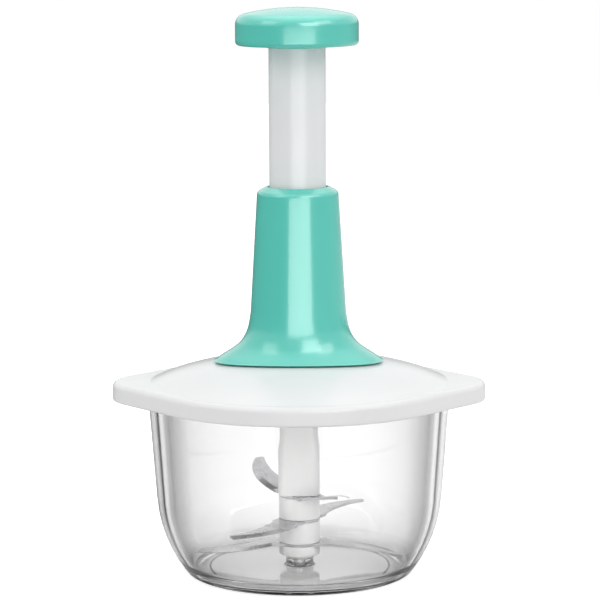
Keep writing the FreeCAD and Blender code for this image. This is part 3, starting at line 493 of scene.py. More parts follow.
def twist_tree():
    """Carries a closed chain of points up Z and turns it once in each Lead above Twist Start."""
    tree, given = shape_tree("Twisted bar", {
        "Low": "Float", "High": "Float", "Twist Start": "Float", "Lead": "Float", "Steps": "Int",
    })
    steps, low = given["Steps"], given["Low"]
    grid, step, point = carried_chain(given["Geometry"], steps)
    height = low + (given["High"] - low) * step / steps
    twisted = (height - given["Twist Start"]).math("MAXIMUM", 0.0)
    turned_point = result(tree, "ShaderNodeVectorRotate",
                          {"Vector": point, "Angle": twisted / given["Lead"] * FULL_TURN},
                          rotation_type="Z_AXIS")
    rise = result(tree, "ShaderNodeCombineXYZ", {"Z": height})
    place = vector_math("ADD", turned_point, rise)
    return end_tree(moved_to(grid, place), given["Material"])


TURNED = turned_tree()
AROUND = around_tree()
COILED = coil_tree()
TWISTED = twist_tree()


def grown(name, start, tree, inputs, material):
    """The tidy mesh object that a geometry tree makes from a starting mesh."""
    piece = new_object(name, start)
    modifier = piece.modifiers.new(tree.name, "NODES")
    modifier.node_group = tree
    values = dict(inputs, Material=material)
    for item in tree.interface.items_tree:
        if item.in_out == "INPUT" and item.name in values:
            modifier[item.identifier] = values[item.name]
    depsgraph = bpy.context.evaluated_depsgraph_get()
    mesh = bpy.data.meshes.new_from_object(piece.evaluated_get(depsgraph), depsgraph=depsgraph)
    piece.modifiers.clear()
    piece.data = mesh
    mesh.name = name
    tidy_mesh(mesh)
    return piece


# ---------------------------------------- finishing a piece
def tidy_mesh(mesh, sharp=SHARP_ANGLE):
    """Welds a mesh, closes its ends, turns its faces outwards and shades it smooth between its
    sharp edges."""
    work = bmesh.new()
    work.from_mesh(mesh)
    bmesh.ops.remove_doubles(work, verts=work.verts, dist=WELD)
    bmesh.ops.holes_fill(work, edges=work.edges, sides=0)
    bmesh.ops.dissolve_degenerate(work, edges=work.edges, dist=WELD / 10)
    bmesh.ops.recalc_face_normals(work, faces=work.faces)
    work.to_mesh(mesh)
    work.free()
    mesh.shade_smooth()
    mesh.set_sharp_from_angle(angle=sharp)


def settle(piece, body, slot, *nodes):
    """The piece rides a body and stands for CAD nodes. Its slot is not used."""
    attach(piece, body)
    if nodes:
        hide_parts(*nodes)
    return piece


def plain_object(name, vertices, faces, material):
    """A mesh object from points in millimetres."""
    mesh = bpy.data.meshes.new(name)
    mesh.from_pydata([Vector(vertex) * MM for vertex in vertices], [], faces)
    mesh.materials.append(material)
    return new_object(name, mesh)


def joined_rings(rings):
    """The points and the faces of a skin through rings with the same number of points."""
    size = len(rings[0])
    vertices = [point for ring in rings for point in ring]
    faces = []
    for i in range(len(rings) - 1):
        for k in range(size):
            following = (k + 1) % size
            faces.append((i * size + k, i * size + following,
                          (i + 1) * size + following, (i + 1) * size + k))
    return vertices, faces


def capped_rings(rings):
    """The points and the faces of a closed skin, whose end rings close onto their middles."""
    size = len(rings[0])
    vertices, faces = joined_rings(rings)
    for first in (0, (len(rings) - 1) * size):
        vertices.append(sum((Vector(p) for p in vertices[first:first + size]), Vector()) / size)
        middle = len(vertices) - 1
        faces += [(first + k, first + (k + 1) % size, middle) for k in range(size)]
    return vertices, faces


def loft(name, rings, material, sharp=SHARP_ANGLE):
    """A closed skin through rings."""
    piece = plain_object(name, *capped_rings(rings), material)
    tidy_mesh(piece.data, sharp)
    return piece


def looped(name, rings, material):
    """A skin through rings that runs on from the last of them into the first."""
    piece = plain_object(name, *joined_rings(rings + rings[:1]), material)
    tidy_mesh(piece.data)
    return piece


def ring_of(place, segments):
    """A ring about Z at place, which is (radius, height) or gives that at an angle. The radius may
    be a function of the angle too."""
    ring = []
    for k in range(segments):
        angle = FULL_TURN * k / segments
        radius, height = place(angle) if callable(place) else place
        if callable(radius):
            radius = radius(angle)
        ring.append((radius * math.cos(angle), radius * math.sin(angle), height))
    return ring


def rings_of(places, segments):
    return [ring_of(place, segments) for place in places]


# ---------------------------------------- turned and repeated pieces
def turned(name, profile, material, segments=TURNED_SEGMENTS):
    """A piece turned about Z from points (radius, height)."""
    chain = bpy.data.meshes.new(name)
    chain.from_pydata([Vector((radius, 0, height)) * MM for radius, height in profile], [], [])
    return grown(name, chain, TURNED, {"Segments": segments}, material)


def around(name, start, count, first_angle, material):
    """Copies of a starting piece about Z, as one piece."""
    mesh = start.data
    bpy.data.objects.remove(start)
    return grown(name, mesh, AROUND, {"Count": count, "First Angle": first_angle}, material)


# ---------------------------------------- finishes
NOISE_MIDDLE = (0.35, 0.65)  # where most of a noise's values lie
CLOUD_SCALE = 35.0
RUB_SCALE = 60.0
PLASTIC_RUB = (0.93, 1.07)  # how far a plastic's roughness strays from its own
STEEL_RUB = (0.8, 1.25)
STEEL_SHADE = 0.86  # of a steel's colour in its darker lines
GRAIN_SCALE = 900.0
POLISH_ROUGHNESS = 0.12  # of the sharper gloss on a polished plastic


def finish_tree(name):
    """A material with its tree emptied but for a Principled shader and its output."""
    material = bpy.data.materials.new(name)
    material.use_nodes = True
    tree = material.node_tree
    tree.nodes.clear()
    shader = add_node(tree, "ShaderNodeBsdfPrincipled")
    add_node(tree, "ShaderNodeOutputMaterial", {"Surface": Formula(shader.outputs[0])})
    return material, tree, shader


def object_coords(tree, scale=(1, 1, 1), rotation=(0, 0, 0)):
    coords = result(tree, "ShaderNodeTexCoord", output="Object")
    return result(tree, "ShaderNodeMapping",
                  {"Vector": coords, "Scale": scale, "Rotation": rotation})


def noise(vector, scale, detail=3.0):
    return result(vector.tree, "ShaderNodeTexNoise",
                  {"Vector": vector, "Scale": scale, "Detail": detail}, "Fac")


def mapped(value, start, end, low, high, kind="LINEAR"):
    """Maps start to end onto low to high."""
    return result(value.tree, "ShaderNodeMapRange", {
        "Value": value, "From Min": start, "From Max": end, "To Min": low, "To Max": high,
    }, interpolation_type=kind)


def clouds(place, scale, low=0.0, high=1.0):
    """A noise whose middle range is spread from low to high."""
    return mapped(noise(place, scale), *NOISE_MIDDLE, low, high)


def tinted(value, first, second):
    return result(value.tree, "ShaderNodeMix",
                  {"Factor": value, "A": (*first, 1), "B": (*second, 1)}, "Result", data_type="RGBA")


def scaled(colour, factor):
    return result(colour.tree, "ShaderNodeVectorMath", {0: colour, "Scale": factor},
                  operation="SCALE")


def bumps(height, strength, depth):
    """A surface's fine bumps, as deep as given in metres."""
    return result(height.tree, "ShaderNodeBump",
                  {"Strength": strength, "Distance": depth, "Height": height})


def moulded_plastic(name, colour, other_colour, roughness, grain=0.05, gloss=0.5, subsurface=0.0,
                    polish=0.0):
    """A moulded plastic: faint clouds of tint, a gloss that varies a little, and a fine skin. A
    polished one mirrors more sharply over its dull body."""
    material, tree, shader = finish_tree(name)
    place = object_coords(tree)
    give(shader, {
        "Base Color": tinted(clouds(place, CLOUD_SCALE), colour, other_colour),
        "Roughness": clouds(place, RUB_SCALE, *[roughness * share for share in PLASTIC_RUB]),
        "Normal": bumps(noise(place, GRAIN_SCALE, detail=4.0), grain, depth=0.00005),
        "Specular IOR Level": gloss,
        "Coat Weight": polish,
        "Coat Roughness": POLISH_ROUGHNESS,
        "Subsurface Weight": subsurface,
        "Subsurface Scale": 0.003,
    })
    return material


def stepped_shade(value, stops):
    """A shade that runs through the given stops (place, shade)."""
    ramp = add_node(value.tree, "ShaderNodeValToRGB", {"Fac": value})
    marks = ramp.color_ramp.elements
    marks[0].position, marks[1].position = stops[0][0], stops[-1][0]
    for position, _ in stops[1:-1]:
        marks.new(position)
    for mark, (_, shade) in zip(marks, stops):
        mark.color = (shade, shade, shade, 1)
    return Formula(ramp.outputs["Color"])


def clear_plastic(name):
    """Clear moulded plastic whose colour holds a painted light rim and painted shade, set by the angle
    at which its outside is seen. Where a thick wall is seen edge on, a light rim and a thin dark line
    inside it are painted, and past the line the colour clears towards the middle."""
    material, tree, shader = finish_tree(name)
    place = object_coords(tree)
    coords = add_node(tree, "ShaderNodeTexCoord")
    normal = Formula(coords.outputs["Normal"])
    # painted shade: on the outside skin only, the glass's colour is darkened and lightened by the
    # angle it is seen at, standing in for the rim and dark line that refraction gives
    radial = vector_math("MULTIPLY", Formula(coords.outputs["Object"]), (1.0, 1.0, 0.0))
    outward = vector_math("DOT_PRODUCT", radial, normal, output="Value")
    outside = outward.math("GREATER_THAN", PAINTED_SHADE_SKIN)
    lean = vector_math("NORMALIZE", vector_math("ADD", normal, (0.0, 0.0, PAINTED_SHADE_LIFT)))
    facing = result(tree, "ShaderNodeLayerWeight", {"Blend": 0.5, "Normal": lean}, "Facing")
    shade = stepped_shade(facing * outside, PAINTED_GLASS_EDGE_SHADE)
    give(shader, {
        "Base Color": scaled(shade, clouds(place, 18.0, low=0.985)),
        "Roughness": clouds(place, RUB_SCALE, high=0.02),
        "Normal": bumps(noise(place, 22.0, detail=1.0), 0.02, depth=0.0002),
        "Transmission Weight": 1.0,
        "IOR": 1.49,
    })
    return material


def brushed_steel(name, colour, roughness, grain, direction=0.0, stretch=(1.0, 40.0, 40.0)):
    """Steel with a brushed grain along X, turned about Z by direction."""
    material, tree, shader = finish_tree(name)
    turn = (0, 0, -direction)
    flat = object_coords(tree, rotation=turn)
    brushed = noise(object_coords(tree, stretch, turn), 60.0, detail=5.0)
    shade = [part * STEEL_SHADE for part in colour]
    give(shader, {
        "Base Color": tinted(mapped(brushed, *NOISE_MIDDLE, 0.0, 1.0), colour, shade),
        "Roughness": clouds(flat, 90.0, *[roughness * share for share in STEEL_RUB]),
        "Normal": bumps(brushed, grain, depth=0.0001),
        "Metallic": 1.0,
    })
    return material


PAINTED_SHADE_SKIN = 0.004  # metres off the axis times how level the outside's normal is, above which the glass gets its painted edge shade
PAINTED_SHADE_LIFT = 0.35  # for the painted edge shade, the outside is taken as turned up by this much, so it is clear from above
PAINTED_GLASS_EDGE_SHADE = (  # painted light rim and painted shade: how far the outside turns away from the eye, and the shade painted into what it lets through there
    (0.0, 1.0), (0.13, 0.94), (0.315, 0.66), (0.385, 0.42), (0.49, 0.19), (0.54, 0.35),
    (0.583, 1.0), (0.612, 0.8), (0.632, 0.02), (0.652, 0.02), (0.686, 0.35), (0.735, 1.0),
)
CLEAR_PAINTED_EDGE_SHADE = clear_plastic("clear_bowl_plastic_painted_edge_shade")
LID_WHITE = moulded_plastic("white_lid_plastic", (0.785, 0.785, 0.79), (0.777, 0.777, 0.782), 0.2,
                            grain=0.015, gloss=0.18)
TEAL = moulded_plastic("teal_plastic", (0.09, 0.56, 0.47), (0.086, 0.55, 0.46), 0.25, grain=0.02,
                       polish=0.5)
TUBE_WHITE = moulded_plastic("white_tube_plastic", (0.76, 0.772, 0.78), (0.75, 0.762, 0.77), 0.3,
                             gloss=0.28)
HUB_WHITE = moulded_plastic("white_hub_plastic", (0.8, 0.795, 0.79), (0.785, 0.78, 0.775), 0.32)
ACETAL = moulded_plastic("natural_acetal", (0.78, 0.77, 0.73), (0.76, 0.75, 0.71), 0.38, grain=0.12)
SILICONE = moulded_plastic("clear_white_silicone", (0.82, 0.84, 0.84), (0.8, 0.82, 0.82), 0.5,
                           grain=0.15, subsurface=0.25)
STEEL = brushed_steel("bright_steel", (0.62, 0.62, 0.63), 0.28, 0.1)
WIRE = brushed_steel("spring_wire", (0.64, 0.64, 0.65), 0.2, 0.05, stretch=(30.0, 30.0, 4.0))
BLADE_STEELS = {
    node: brushed_steel("blade_steel_" + node, (0.52, 0.52, 0.53), 0.24, 0.12, math.radians(turn))
    for node, turn in (("lower_blade", 0), ("middle_blade", 60), ("upper_blade", 120))
}


# ---------------------------------------- bowl
def bowl():
    foot = (BOWL_FOOT_RADIUS, 0.0)
    shoulder = (BOWL_SHOULDER_RADIUS, BOWL_SHOULDER_HEIGHT)
    rim = (bowl_high.x, bowl_high.z)
    above = (2 * rim[0] - shoulder[0], 2 * rim[1] - shoulder[1])
    inner_shoulder = inset_corner(foot, shoulder, rim, BOWL_WALL)
    inner_rim = inset_corner(shoulder, rim, above, BOWL_WALL)[0]
    slope = (shoulder[0] - foot[0]) / (shoulder[1] - foot[1])
    inner_foot = (inner_shoulder[0] - slope * (inner_shoulder[1] - BOWL_FLOOR), BOWL_FLOOR)
    ring_inner = BOWL_FOOT_RADIUS - BOWL_FOOT_ROUND - FOOT_RING_WIDTH
    corners = {
        (0.0, FOOT_RECESS): 0.0,
        (ring_inner - FOOT_RECESS, FOOT_RECESS): FOOT_EDGE_ROUND,
        (ring_inner, 0.0): FOOT_EDGE_ROUND,
        foot: BOWL_FOOT_ROUND,
        shoulder: BOWL_SHOULDER_ROUND,
        rim: BOWL_RIM_ROUND,
        (inner_rim, rim[1]): BOWL_RIM_ROUND,
        inner_shoulder: BOWL_SHOULDER_ROUND - BOWL_WALL,
        inner_foot: BOWL_INNER_FOOT_ROUND,
        (BOSS_RADIUS, BOWL_FLOOR): BOSS_ROUND,
        (BOSS_RADIUS, BOSS_TOP): FOOT_EDGE_ROUND,
        (PIN_HOLE_RADIUS, BOSS_TOP): FOOT_EDGE_ROUND,
        (PIN_HOLE_RADIUS, PIN_HOLE_FLOOR): 0.0,
        (0.0, PIN_HOLE_FLOOR): 0.0,
    }
    piece = turned("clear_bowl", rounded_profile(corners), CLEAR_PAINTED_EDGE_SHADE)
    return settle(piece, "bowl", "clear_plastic", "bowl")


# ---------------------------------------- lid
lid_radius = lid_high.y
dome_radius = lid_radius - DOME_INSET
skirt_bottom = lid_low.z
rim_seat = bowl_high.z + REST_GAP
lid_top = rim_seat + LID_PLATE


def dome_height(radius):
    share = min(radius / dome_radius, 1.0)
    crown = DOME_CROWN * (1 - share**2)
    shoulder = DOME_SHOULDER * (1 - share**DOME_SHOULDER_POWER)
    return lid_top + crown + shoulder


def soft_dome_height(radius):
    """The dome's height with a soft valley round its foot."""
    above = dome_height(radius) - lid_top
    return lid_top + (above + math.hypot(above, DOME_BLEND)) / 2 - DOME_BLEND / 2


def eared_reach(inset):
    """How far the lid's outline, drawn in by inset, is from the axis at an angle."""
    rim = lid_radius - inset
    ear = EAR_RADIUS - inset
    lean = math.acos((rim - ear) / EAR_OFFSET)
    ear_end = math.atan2(ear * math.sin(lean), EAR_OFFSET + ear * math.cos(lean))

    def reach(angle):
        off_axis = abs((angle + QUARTER_TURN) % math.pi - QUARTER_TURN)
        if off_axis >= lean:
            return rim
        if off_axis >= ear_end:
            return rim / math.cos(lean - off_axis)
        across = EAR_OFFSET * math.sin(off_axis)
        return EAR_OFFSET * math.cos(off_axis) + math.sqrt(ear**2 - across**2)

    return reach


def lid_top_places():
    """From the collar's top down the dome and over the ears: how far out and how high."""
    places = [(CUP_RADIUS, dome_height(CUP_RADIUS) + COLLAR_RISE)]
    for i in range(DOME_STEPS + 1):
        share = math.sin(QUARTER_TURN * i / DOME_STEPS)
        radius = CUP_RADIUS + (dome_radius - CUP_RADIUS) * share
        places.append((radius, soft_dome_height(radius)))
    outer = eared_reach(LID_TOP_ROUND)
    for share in EAR_SHARES:
        def reach(angle, share=share):
            return dome_radius + (outer(angle) - dome_radius) * share
        places.append((reach, lid_top))
    return places


def lid_edge_places():
    """Round the upper edge, down the band and round the lower edge."""
    band_foot = skirt_bottom + LID_LOWER_ROUND
    turns = [QUARTER_TURN * i / LID_EDGE_STEPS for i in range(LID_EDGE_STEPS + 1)]
    rounds = [(LID_TOP_ROUND * (1 - math.sin(turn)), lid_top - LID_TOP_ROUND * (1 - math.cos(turn)))
              for turn in turns[1:]]
    rounds += [(0.0, lid_top - LID_TOP_ROUND - SUPPORT), (0.0, band_foot + SUPPORT)]
    rounds += [(LID_LOWER_ROUND * (1 - math.cos(turn)), band_foot - LID_LOWER_ROUND * math.sin(turn))
               for turn in turns]
    return [(eared_reach(inset), height) for inset, height in rounds]


def lid_pocket_places():
    """Round the hollows under the ears, and close to the skirt's foot where there is none."""
    outer = eared_reach(EAR_WALL)
    edge = eared_reach(LID_LOWER_ROUND)
    skirt_bore = lid_radius - SKIRT_WALL

    def place(far, deep, angle):
        if outer(angle) - lid_radius > LEAST_POCKET:
            return outer(angle) if far else lid_radius, rim_seat if deep else skirt_bottom
        share = (0.3 if far else 0.6) + (0.1 if deep else 0.0)
        return edge(angle) + (skirt_bore - edge(angle)) * share, skirt_bottom

    sides = [(True, False), (True, True), (False, True), (False, False)]
    return [partial(place, far, deep) for far, deep in sides]


def lid_under_places():
    """Up the skirt's bore, round the plug ring, under the dome and round the cup."""
    seat_low, seat_high = SEAL_SEAT
    seat_radius = PLUG_OUTER - SEAL_SEAT_DEPTH
    skirt_bore = lid_radius - SKIRT_WALL
    places = rounded_profile({
        (skirt_bore, skirt_bottom): 0.0,
        (skirt_bore, rim_seat): 0.3,
        (PLUG_OUTER, rim_seat): 0.3,
        (PLUG_OUTER, seat_high): 0.0,
        (seat_radius, seat_high): 0.0,
        (seat_radius, seat_low): 0.0,
        (PLUG_OUTER, seat_low): 0.0,
        (PLUG_OUTER, PLUG_BOTTOM): PLUG_ROUND,
        (PLUG_INNER, PLUG_BOTTOM): PLUG_ROUND,
        (PLUG_INNER, dome_height(PLUG_INNER) - DOME_WALL): 0.0,
    })
    for i in range(1, DOME_UNDER_STEPS + 1):
        radius = PLUG_INNER + (CUP_RADIUS - PLUG_INNER) * i / DOME_UNDER_STEPS
        places.append((radius, dome_height(radius) - DOME_WALL))
    cup_low, cup_floor = CUP_FLOOR
    return places + rounded_profile({
        (CUP_RADIUS, cup_low): 0.0,
        (BEARING_RADIUS, cup_low): 0.5,
        (BEARING_RADIUS, BEARING_BOTTOM): 0.3,
        (BEARING_BORE, BEARING_BOTTOM): 0.2,
        (BEARING_BORE, cup_floor): 0.2,
        (CUP_BORE, cup_floor): 0.5,
        (CUP_BORE, dome_height(CUP_RADIUS) + COLLAR_RISE): 0.0,
    })


def lid():
    places = lid_top_places() + lid_edge_places() + lid_pocket_places() + lid_under_places()
    piece = looped("eared_lid", rings_of(places, LID_SEGMENTS), LID_WHITE)
    return settle(piece, "lid", "white_lid_plastic", "lid")


def upright_plate(start, end, low, high, half, across=0.0):
    """Sections of a plate that stands along X: its foot is rounded, and its top follows high(x, y)."""
    foot_round = half * RIB_FOOT_ROUND
    steps, foot_steps = 14, 4
    sections = []
    for i in range(steps + 1):
        x = start + (end - start) * i / steps
        section = []
        for side in (-1, 1):
            run = [(x, across + side * half, high(x, across + side * half))]
            for k in range(foot_steps + 1):
                turn = QUARTER_TURN * k / foot_steps
                inward = foot_round * (1 - math.cos(turn))
                lift = foot_round * (1 - math.sin(turn))
                run.append((x, across + side * (half - inward), low + lift))
            section += run if side < 0 else run[::-1]
        sections.append(section)
    return sections


def lid_ribs():
    """Six ribs under the dome, from the cup to the plug ring."""
    def under_dome(x, y):
        return dome_height(math.hypot(x, y)) - DOME_WALL * LID_RIB_TOP

    start = CUP_RADIUS - LID_RIB_ENDS[0]
    end = PLUG_INNER + LID_RIB_ENDS[1]
    sections = upright_plate(start, end, LID_RIB_FOOT, under_dome, LID_RIB_WALL / 2)
    rib = loft("rib", sections, LID_WHITE)
    piece = around("lid_ribs", rib, LID_RIBS, math.pi / LID_RIBS, LID_WHITE)
    return settle(piece, "lid", "white_lid_plastic")


def ear_ribs():
    """Three short ribs in the hollow under each ear."""
    vertices = []
    faces = []
    for i in range(EAR_RIBS):
        across = (i - (EAR_RIBS - 1) / 2) * EAR_RIB_PITCH
        inner = math.sqrt(lid_radius**2 - across**2) - SKIRT_WALL / 2
        outer = EAR_OFFSET + math.sqrt((EAR_RADIUS - EAR_WALL / 2) ** 2 - across**2)
        sections = upright_plate(inner, outer, skirt_bottom + LID_RIB_WALL,
                                 lambda x, y: rim_seat + LID_PLATE / 2, LID_RIB_WALL / 2, across)
        points, sides = capped_rings(sections)
        faces += [[len(vertices) + k for k in side] for side in sides]
        vertices += points
    ribs = plain_object("ear_rib_set", vertices, faces, LID_WHITE)
    piece = around("ear_ribs", ribs, 2, 0.0, LID_WHITE)
    return settle(piece, "lid", "white_lid_plastic")


def at_offset(piece, offset):
    piece.data.transform(Matrix.Translation((offset * MM, 0, 0)))
    return piece


def screw_bosses():
    """The two posts under the dome that the tower's screws pull on."""
    seat = dome_height(SCREW_OFFSET) - SCREW_DROP
    top = dome_height(SCREW_OFFSET + SCREW_BOSS) - DOME_WALL * SCREW_BOSS_TOP
    profile = oblong(SCREW_HOLE, SCREW_BOSS, seat, top, (0.3, 0.5, 0.0, 0.0))
    boss = at_offset(turned("boss", profile, LID_WHITE, SMALL_SEGMENTS), SCREW_OFFSET)
    piece = around("screw_bosses", boss, 2, 0.0, LID_WHITE)
    return settle(piece, "lid", "white_lid_plastic")


def cross_reach(arm, half_width, angle):
    """How far a cross with rounded-off arms reaches at an angle."""
    off = abs((angle + math.pi / 4) % QUARTER_TURN - math.pi / 4)
    side = half_width / max(math.sin(off), TINY)
    return min(arm / math.cos(off), max(side, half_width * math.sqrt(2)))


def tower_screws():
    """Two pan-head screws with a cross recess, seen from under the lid."""
    seat = dome_height(SCREW_OFFSET) - SCREW_DROP - REST_GAP
    head = seat - SCREW_HEAD_HEIGHT
    places = []
    for arm, width, sink in CROSS_LEVELS:
        reach = partial(cross_reach, CROSS_ARM * arm, CROSS_WIDTH * width)
        places.append((reach, head + CROSS_DEPTH * sink))
    places += rounded_profile({
        (CROSS_ARM + CROSS_LAND, head): 0.0,
        (SCREW_HEAD, head): SCREW_HEAD_HEIGHT / 2,
        (SCREW_HEAD, seat): 0.15,
        (SCREW_SHANK, seat): 0.1,
        (SCREW_SHANK, screw_high.z - SCREW_SHANK): 0.0,
        (SCREW_SHANK / 2, screw_high.z): 0.0,
    })
    screw = at_offset(loft("screw", rings_of(places, SMALL_SEGMENTS), STEEL), SCREW_OFFSET)
    piece = around("tower_screw_pair", screw, 2, 0.0, STEEL)
    return settle(piece, "lid", "steel", "tower_screws")


def seal_ring():
    lip = (seal_high.z - seal_low.z) / 3
    inner = PLUG_OUTER - SEAL_SEAT_DEPTH + REST_GAP
    profile = oblong(inner, seal_high.x, seal_low.z, seal_high.z, (0.2, lip, lip, 0.2))
    piece = turned("seal_ring", profile, SILICONE, SEAL_SEGMENTS)
    return settle(piece, "lid", "silicone", "lid_seal_ring")


def return_spring():
    wire = SPRING_WIRE * MM
    piece = grown("return_spring_coil", bpy.data.meshes.new("coil"), COILED, {
        "Coil Radius": spring_high.x * MM - wire,
        "Wire Radius": wire,
        "Low": spring_low.z * MM + wire,
        "High": spring_high.z * MM - wire,
        "Turns": SPRING_TURNS,
        "End Turns": SPRING_END_TURNS,
        "Steps": int(SPRING_TURNS * SPRING_STEPS),
        "Wire Sides": WIRE_SIDES,
    }, WIRE)
    settle(piece, "lid", "spring_steel", "return_spring")
    press = next(joint for joint in frame["joints"] if joint["name"] == "plunger_press")
    length = (spring_high.z - spring_low.z) * MM
    stroke = max(abs(limit) for limit in press["range_m"])
    (length - stroke) / length
    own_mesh(piece)
    return piece


def drive_strip():
    """The flat strip that the nut slides on: a straight tang, then one turn in each lead."""
    half_width, half = STRIP_WIDTH / 2, STRIP_THICKNESS / 2
    section = oblong(-half_width, half_width, -half, half, [STRIP_ROUND] * 4)
    chain = bpy.data.meshes.new("section")
    chain.from_pydata([Vector((x, y, 0)) * MM for x, y in section], [], [])
    piece = grown("drive_strip", chain, TWISTED, {
        "Low": strip_low.z * MM,
        "High": strip_high.z * MM,
        "Twist Start": (strip_low.z + STRIP_TANG) * MM,
        "Lead": TWIST_LEAD * MM,
        "Steps": int((strip_high.z - strip_low.z) / STRIP_STEP),
    }, STEEL)
    return settle(piece, "drive", "steel", "twisted_drive_strip")


# ---------------------------------------- blade column
def flatted_reach(inset):
    """A round bar with two flats, facing along Y."""
    def reach(angle):
        across = abs(math.sin(angle))
        return min(STEM_RADIUS - inset, (STEM_FLAT - inset) / max(across, TINY))
    return reach


def square_reach(width, inset):
    """A square with rounded corners."""
    half = width / 2 - inset
    corner = HUB_CORNER_ROUND - inset
    middle = half - corner

    def reach(angle):
        off = abs((angle + math.pi / 4) % QUARTER_TURN - math.pi / 4)
        if math.tan(off) * half <= middle:
            return half / math.cos(off)
        along = middle * (math.cos(off) + math.sin(off))
        return along + math.sqrt(corner**2 - 2 * middle**2 + along**2)

    return reach


def hexagon_reach(across, inset):
    def reach(angle):
        off = abs(angle % (math.pi / 3) - math.pi / 6)
        return (across / 2 - inset) / math.cos(off)
    return reach


def edge_places(shape, height, up, out, edge_round):
    """Round an edge, where shape(inset) is the outline drawn in: up is +1 at a top face and -1 at a
    bottom one, and out says whether the surface runs from the side to the face."""
    places = []
    for i in range(EDGE_STEPS + 1):
        turn = QUARTER_TURN * (i if out else EDGE_STEPS - i) / EDGE_STEPS
        inset = edge_round * (1 - math.cos(turn))
        places.append((shape(inset), height - up * edge_round * (1 - math.sin(turn))))
    return places


def blade_hub():
    """The column: a keyed stem for the blades, a square body, a narrower neck and a hex socket."""
    low, high = hub_low.z, hub_high.z
    body_foot = low + HUB_STEM_LENGTH
    neck_foot = high - HUB_NECK_LENGTH
    body_top = neck_foot - HUB_TAPER_LENGTH
    edge = HUB_EDGE_ROUND
    bore, bore_depth = PIN_CLEARANCE
    body = partial(square_reach, HUB_WIDTH)
    neck = partial(square_reach, HUB_NECK_WIDTH)
    socket = partial(hexagon_reach, HEX_SOCKET)
    places = [
        (bore, low + bore_depth),
        (bore, low + PIVOT_BORE_DEPTH),
        (PIVOT_BORE, low + PIVOT_BORE_DEPTH),
        (PIVOT_BORE, low),
        *edge_places(flatted_reach, low, -1, False, edge),
        (flatted_reach(0.0), body_foot),
        *edge_places(body, body_foot, -1, False, edge),
        (body(0.0), body_top),
        (neck(0.0), neck_foot),
        *edge_places(neck, high, 1, True, edge),
        (socket(-edge), high),
        (socket(0.0), high - edge),
        (socket(0.0), high - HEX_SOCKET_DEPTH),
    ]
    piece = loft("blade_column", rings_of(places, HUB_SEGMENTS), HUB_WHITE, HUB_SHARP_ANGLE)
    return settle(piece, "blades", "white_hub_plastic", "blade_hub")


def stack_ring(name, node):
    """A sleeve of the blade stack, keyed to the stem."""
    low, high = node_box(node)

    def outside(inset):
        return STACK_RADIUS - inset

    places = [
        (flatted_reach(-REST_GAP), high.z),
        (flatted_reach(-REST_GAP), low.z),
        *edge_places(outside, low.z, -1, False, STACK_EDGE_ROUND),
        *edge_places(outside, high.z, 1, True, STACK_EDGE_ROUND),
    ]
    piece = looped(name, rings_of(places, HUB_SEGMENTS), HUB_WHITE)
    return settle(piece, "blades", "white_hub_plastic", node)


# ---------------------------------------- tower
tower_radius = BUSH_BORE + TOWER_WALL
waist = tower_radius + TOWER_TAPER
flange_z = dome_height(FLANGE_HALF_LENGTH)
FLARE_CURVE = smooth_through(FLARE_SHAPE, FLARE_STEPS)


def flare_spread(share):
    """How far the flare is spread at a share of its height."""
    for (low, spread), (high, following) in zip(FLARE_CURVE, FLARE_CURVE[1:]):
        if share <= high:
            return spread + (following - spread) * (share - low) / (high - low)
    return 0.0


def flare_point(share, angle, inset, sink):
    spread = flare_spread(share)
    half_length = waist + (FLANGE_HALF_LENGTH - waist) * spread - inset
    half_width = waist + (FLANGE_HALF_WIDTH - waist) * spread - inset
    height = flange_z + FLARE_RISE * share - sink
    return half_length * math.cos(angle), half_width * math.sin(angle), height


def flare_feet(inset, sink):
    """The share of the height at which each line of the flare comes down to the dome's gap."""
    feet = []
    for k in range(TOWER_SEGMENTS):
        foot = 0.0
        for _ in range(8):
            x, y, z = flare_point(foot, FULL_TURN * k / TOWER_SEGMENTS, inset, sink)
            foot += (dome_height(math.hypot(x, y)) + FLANGE_GAP - z) / FLARE_RISE
        feet.append(foot)
    return feet


def flare_ring(feet, rise, inset=0.0, sink=0.0):
    """A ring of the flare, which is at its foot where rise is 0 and at its top where it is 1."""
    ring = []
    for k, foot in enumerate(feet):
        share = foot + (1 - foot) * rise
        ring.append(flare_point(share, FULL_TURN * k / TOWER_SEGMENTS, inset, sink))
    return ring


def tower_column(top):
    """From the flare's top up the column and down its mouth and bore: how far out and how high."""
    return rounded_profile({
        (waist, flange_z + FLARE_RISE): 0.0,
        (tower_radius, top - TOWER_CHAMFER): TOWER_SHOULDER_ROUND,
        (MOUTH_RADIUS, top): MOUTH_ROUND,
        (MOUTH_RADIUS, bush_high.z): 0.2,
        (BUSH_BORE, bush_high.z): 0.2,
        (BUSH_BORE, bush_low.z): 0.0,
        (BUSH_BORE + BUSH_STEP, bush_low.z): 0.0,
    })[1:]


def tower():
    """The teal tower: an oval flange that follows the dome, a flare and a tapered column."""
    outer_feet = flare_feet(0.0, 0.0)
    inner_feet = flare_feet(TOWER_WALL, FLARE_CORE_DROP)
    rises = [share for share, _ in FLARE_CURVE]
    rings = [flare_ring(inner_feet, rise, TOWER_WALL, FLARE_CORE_DROP) for rise in reversed(rises)]
    for inset, lift in FLANGE_LIP:
        rings.append([(x, y, z + lift) for x, y, z in flare_ring(outer_feet, 0.0, inset)])
    first_rise = FLANGE_LIP[-1][1] * 2 / FLARE_RISE
    rings += [flare_ring(outer_feet, rise) for rise in rises if rise > first_rise]
    rings += rings_of(tower_column(tower_high.z), TOWER_SEGMENTS)
    return settle(looped("tower", rings, TEAL), "lid", "teal_plastic", "tower_housing")


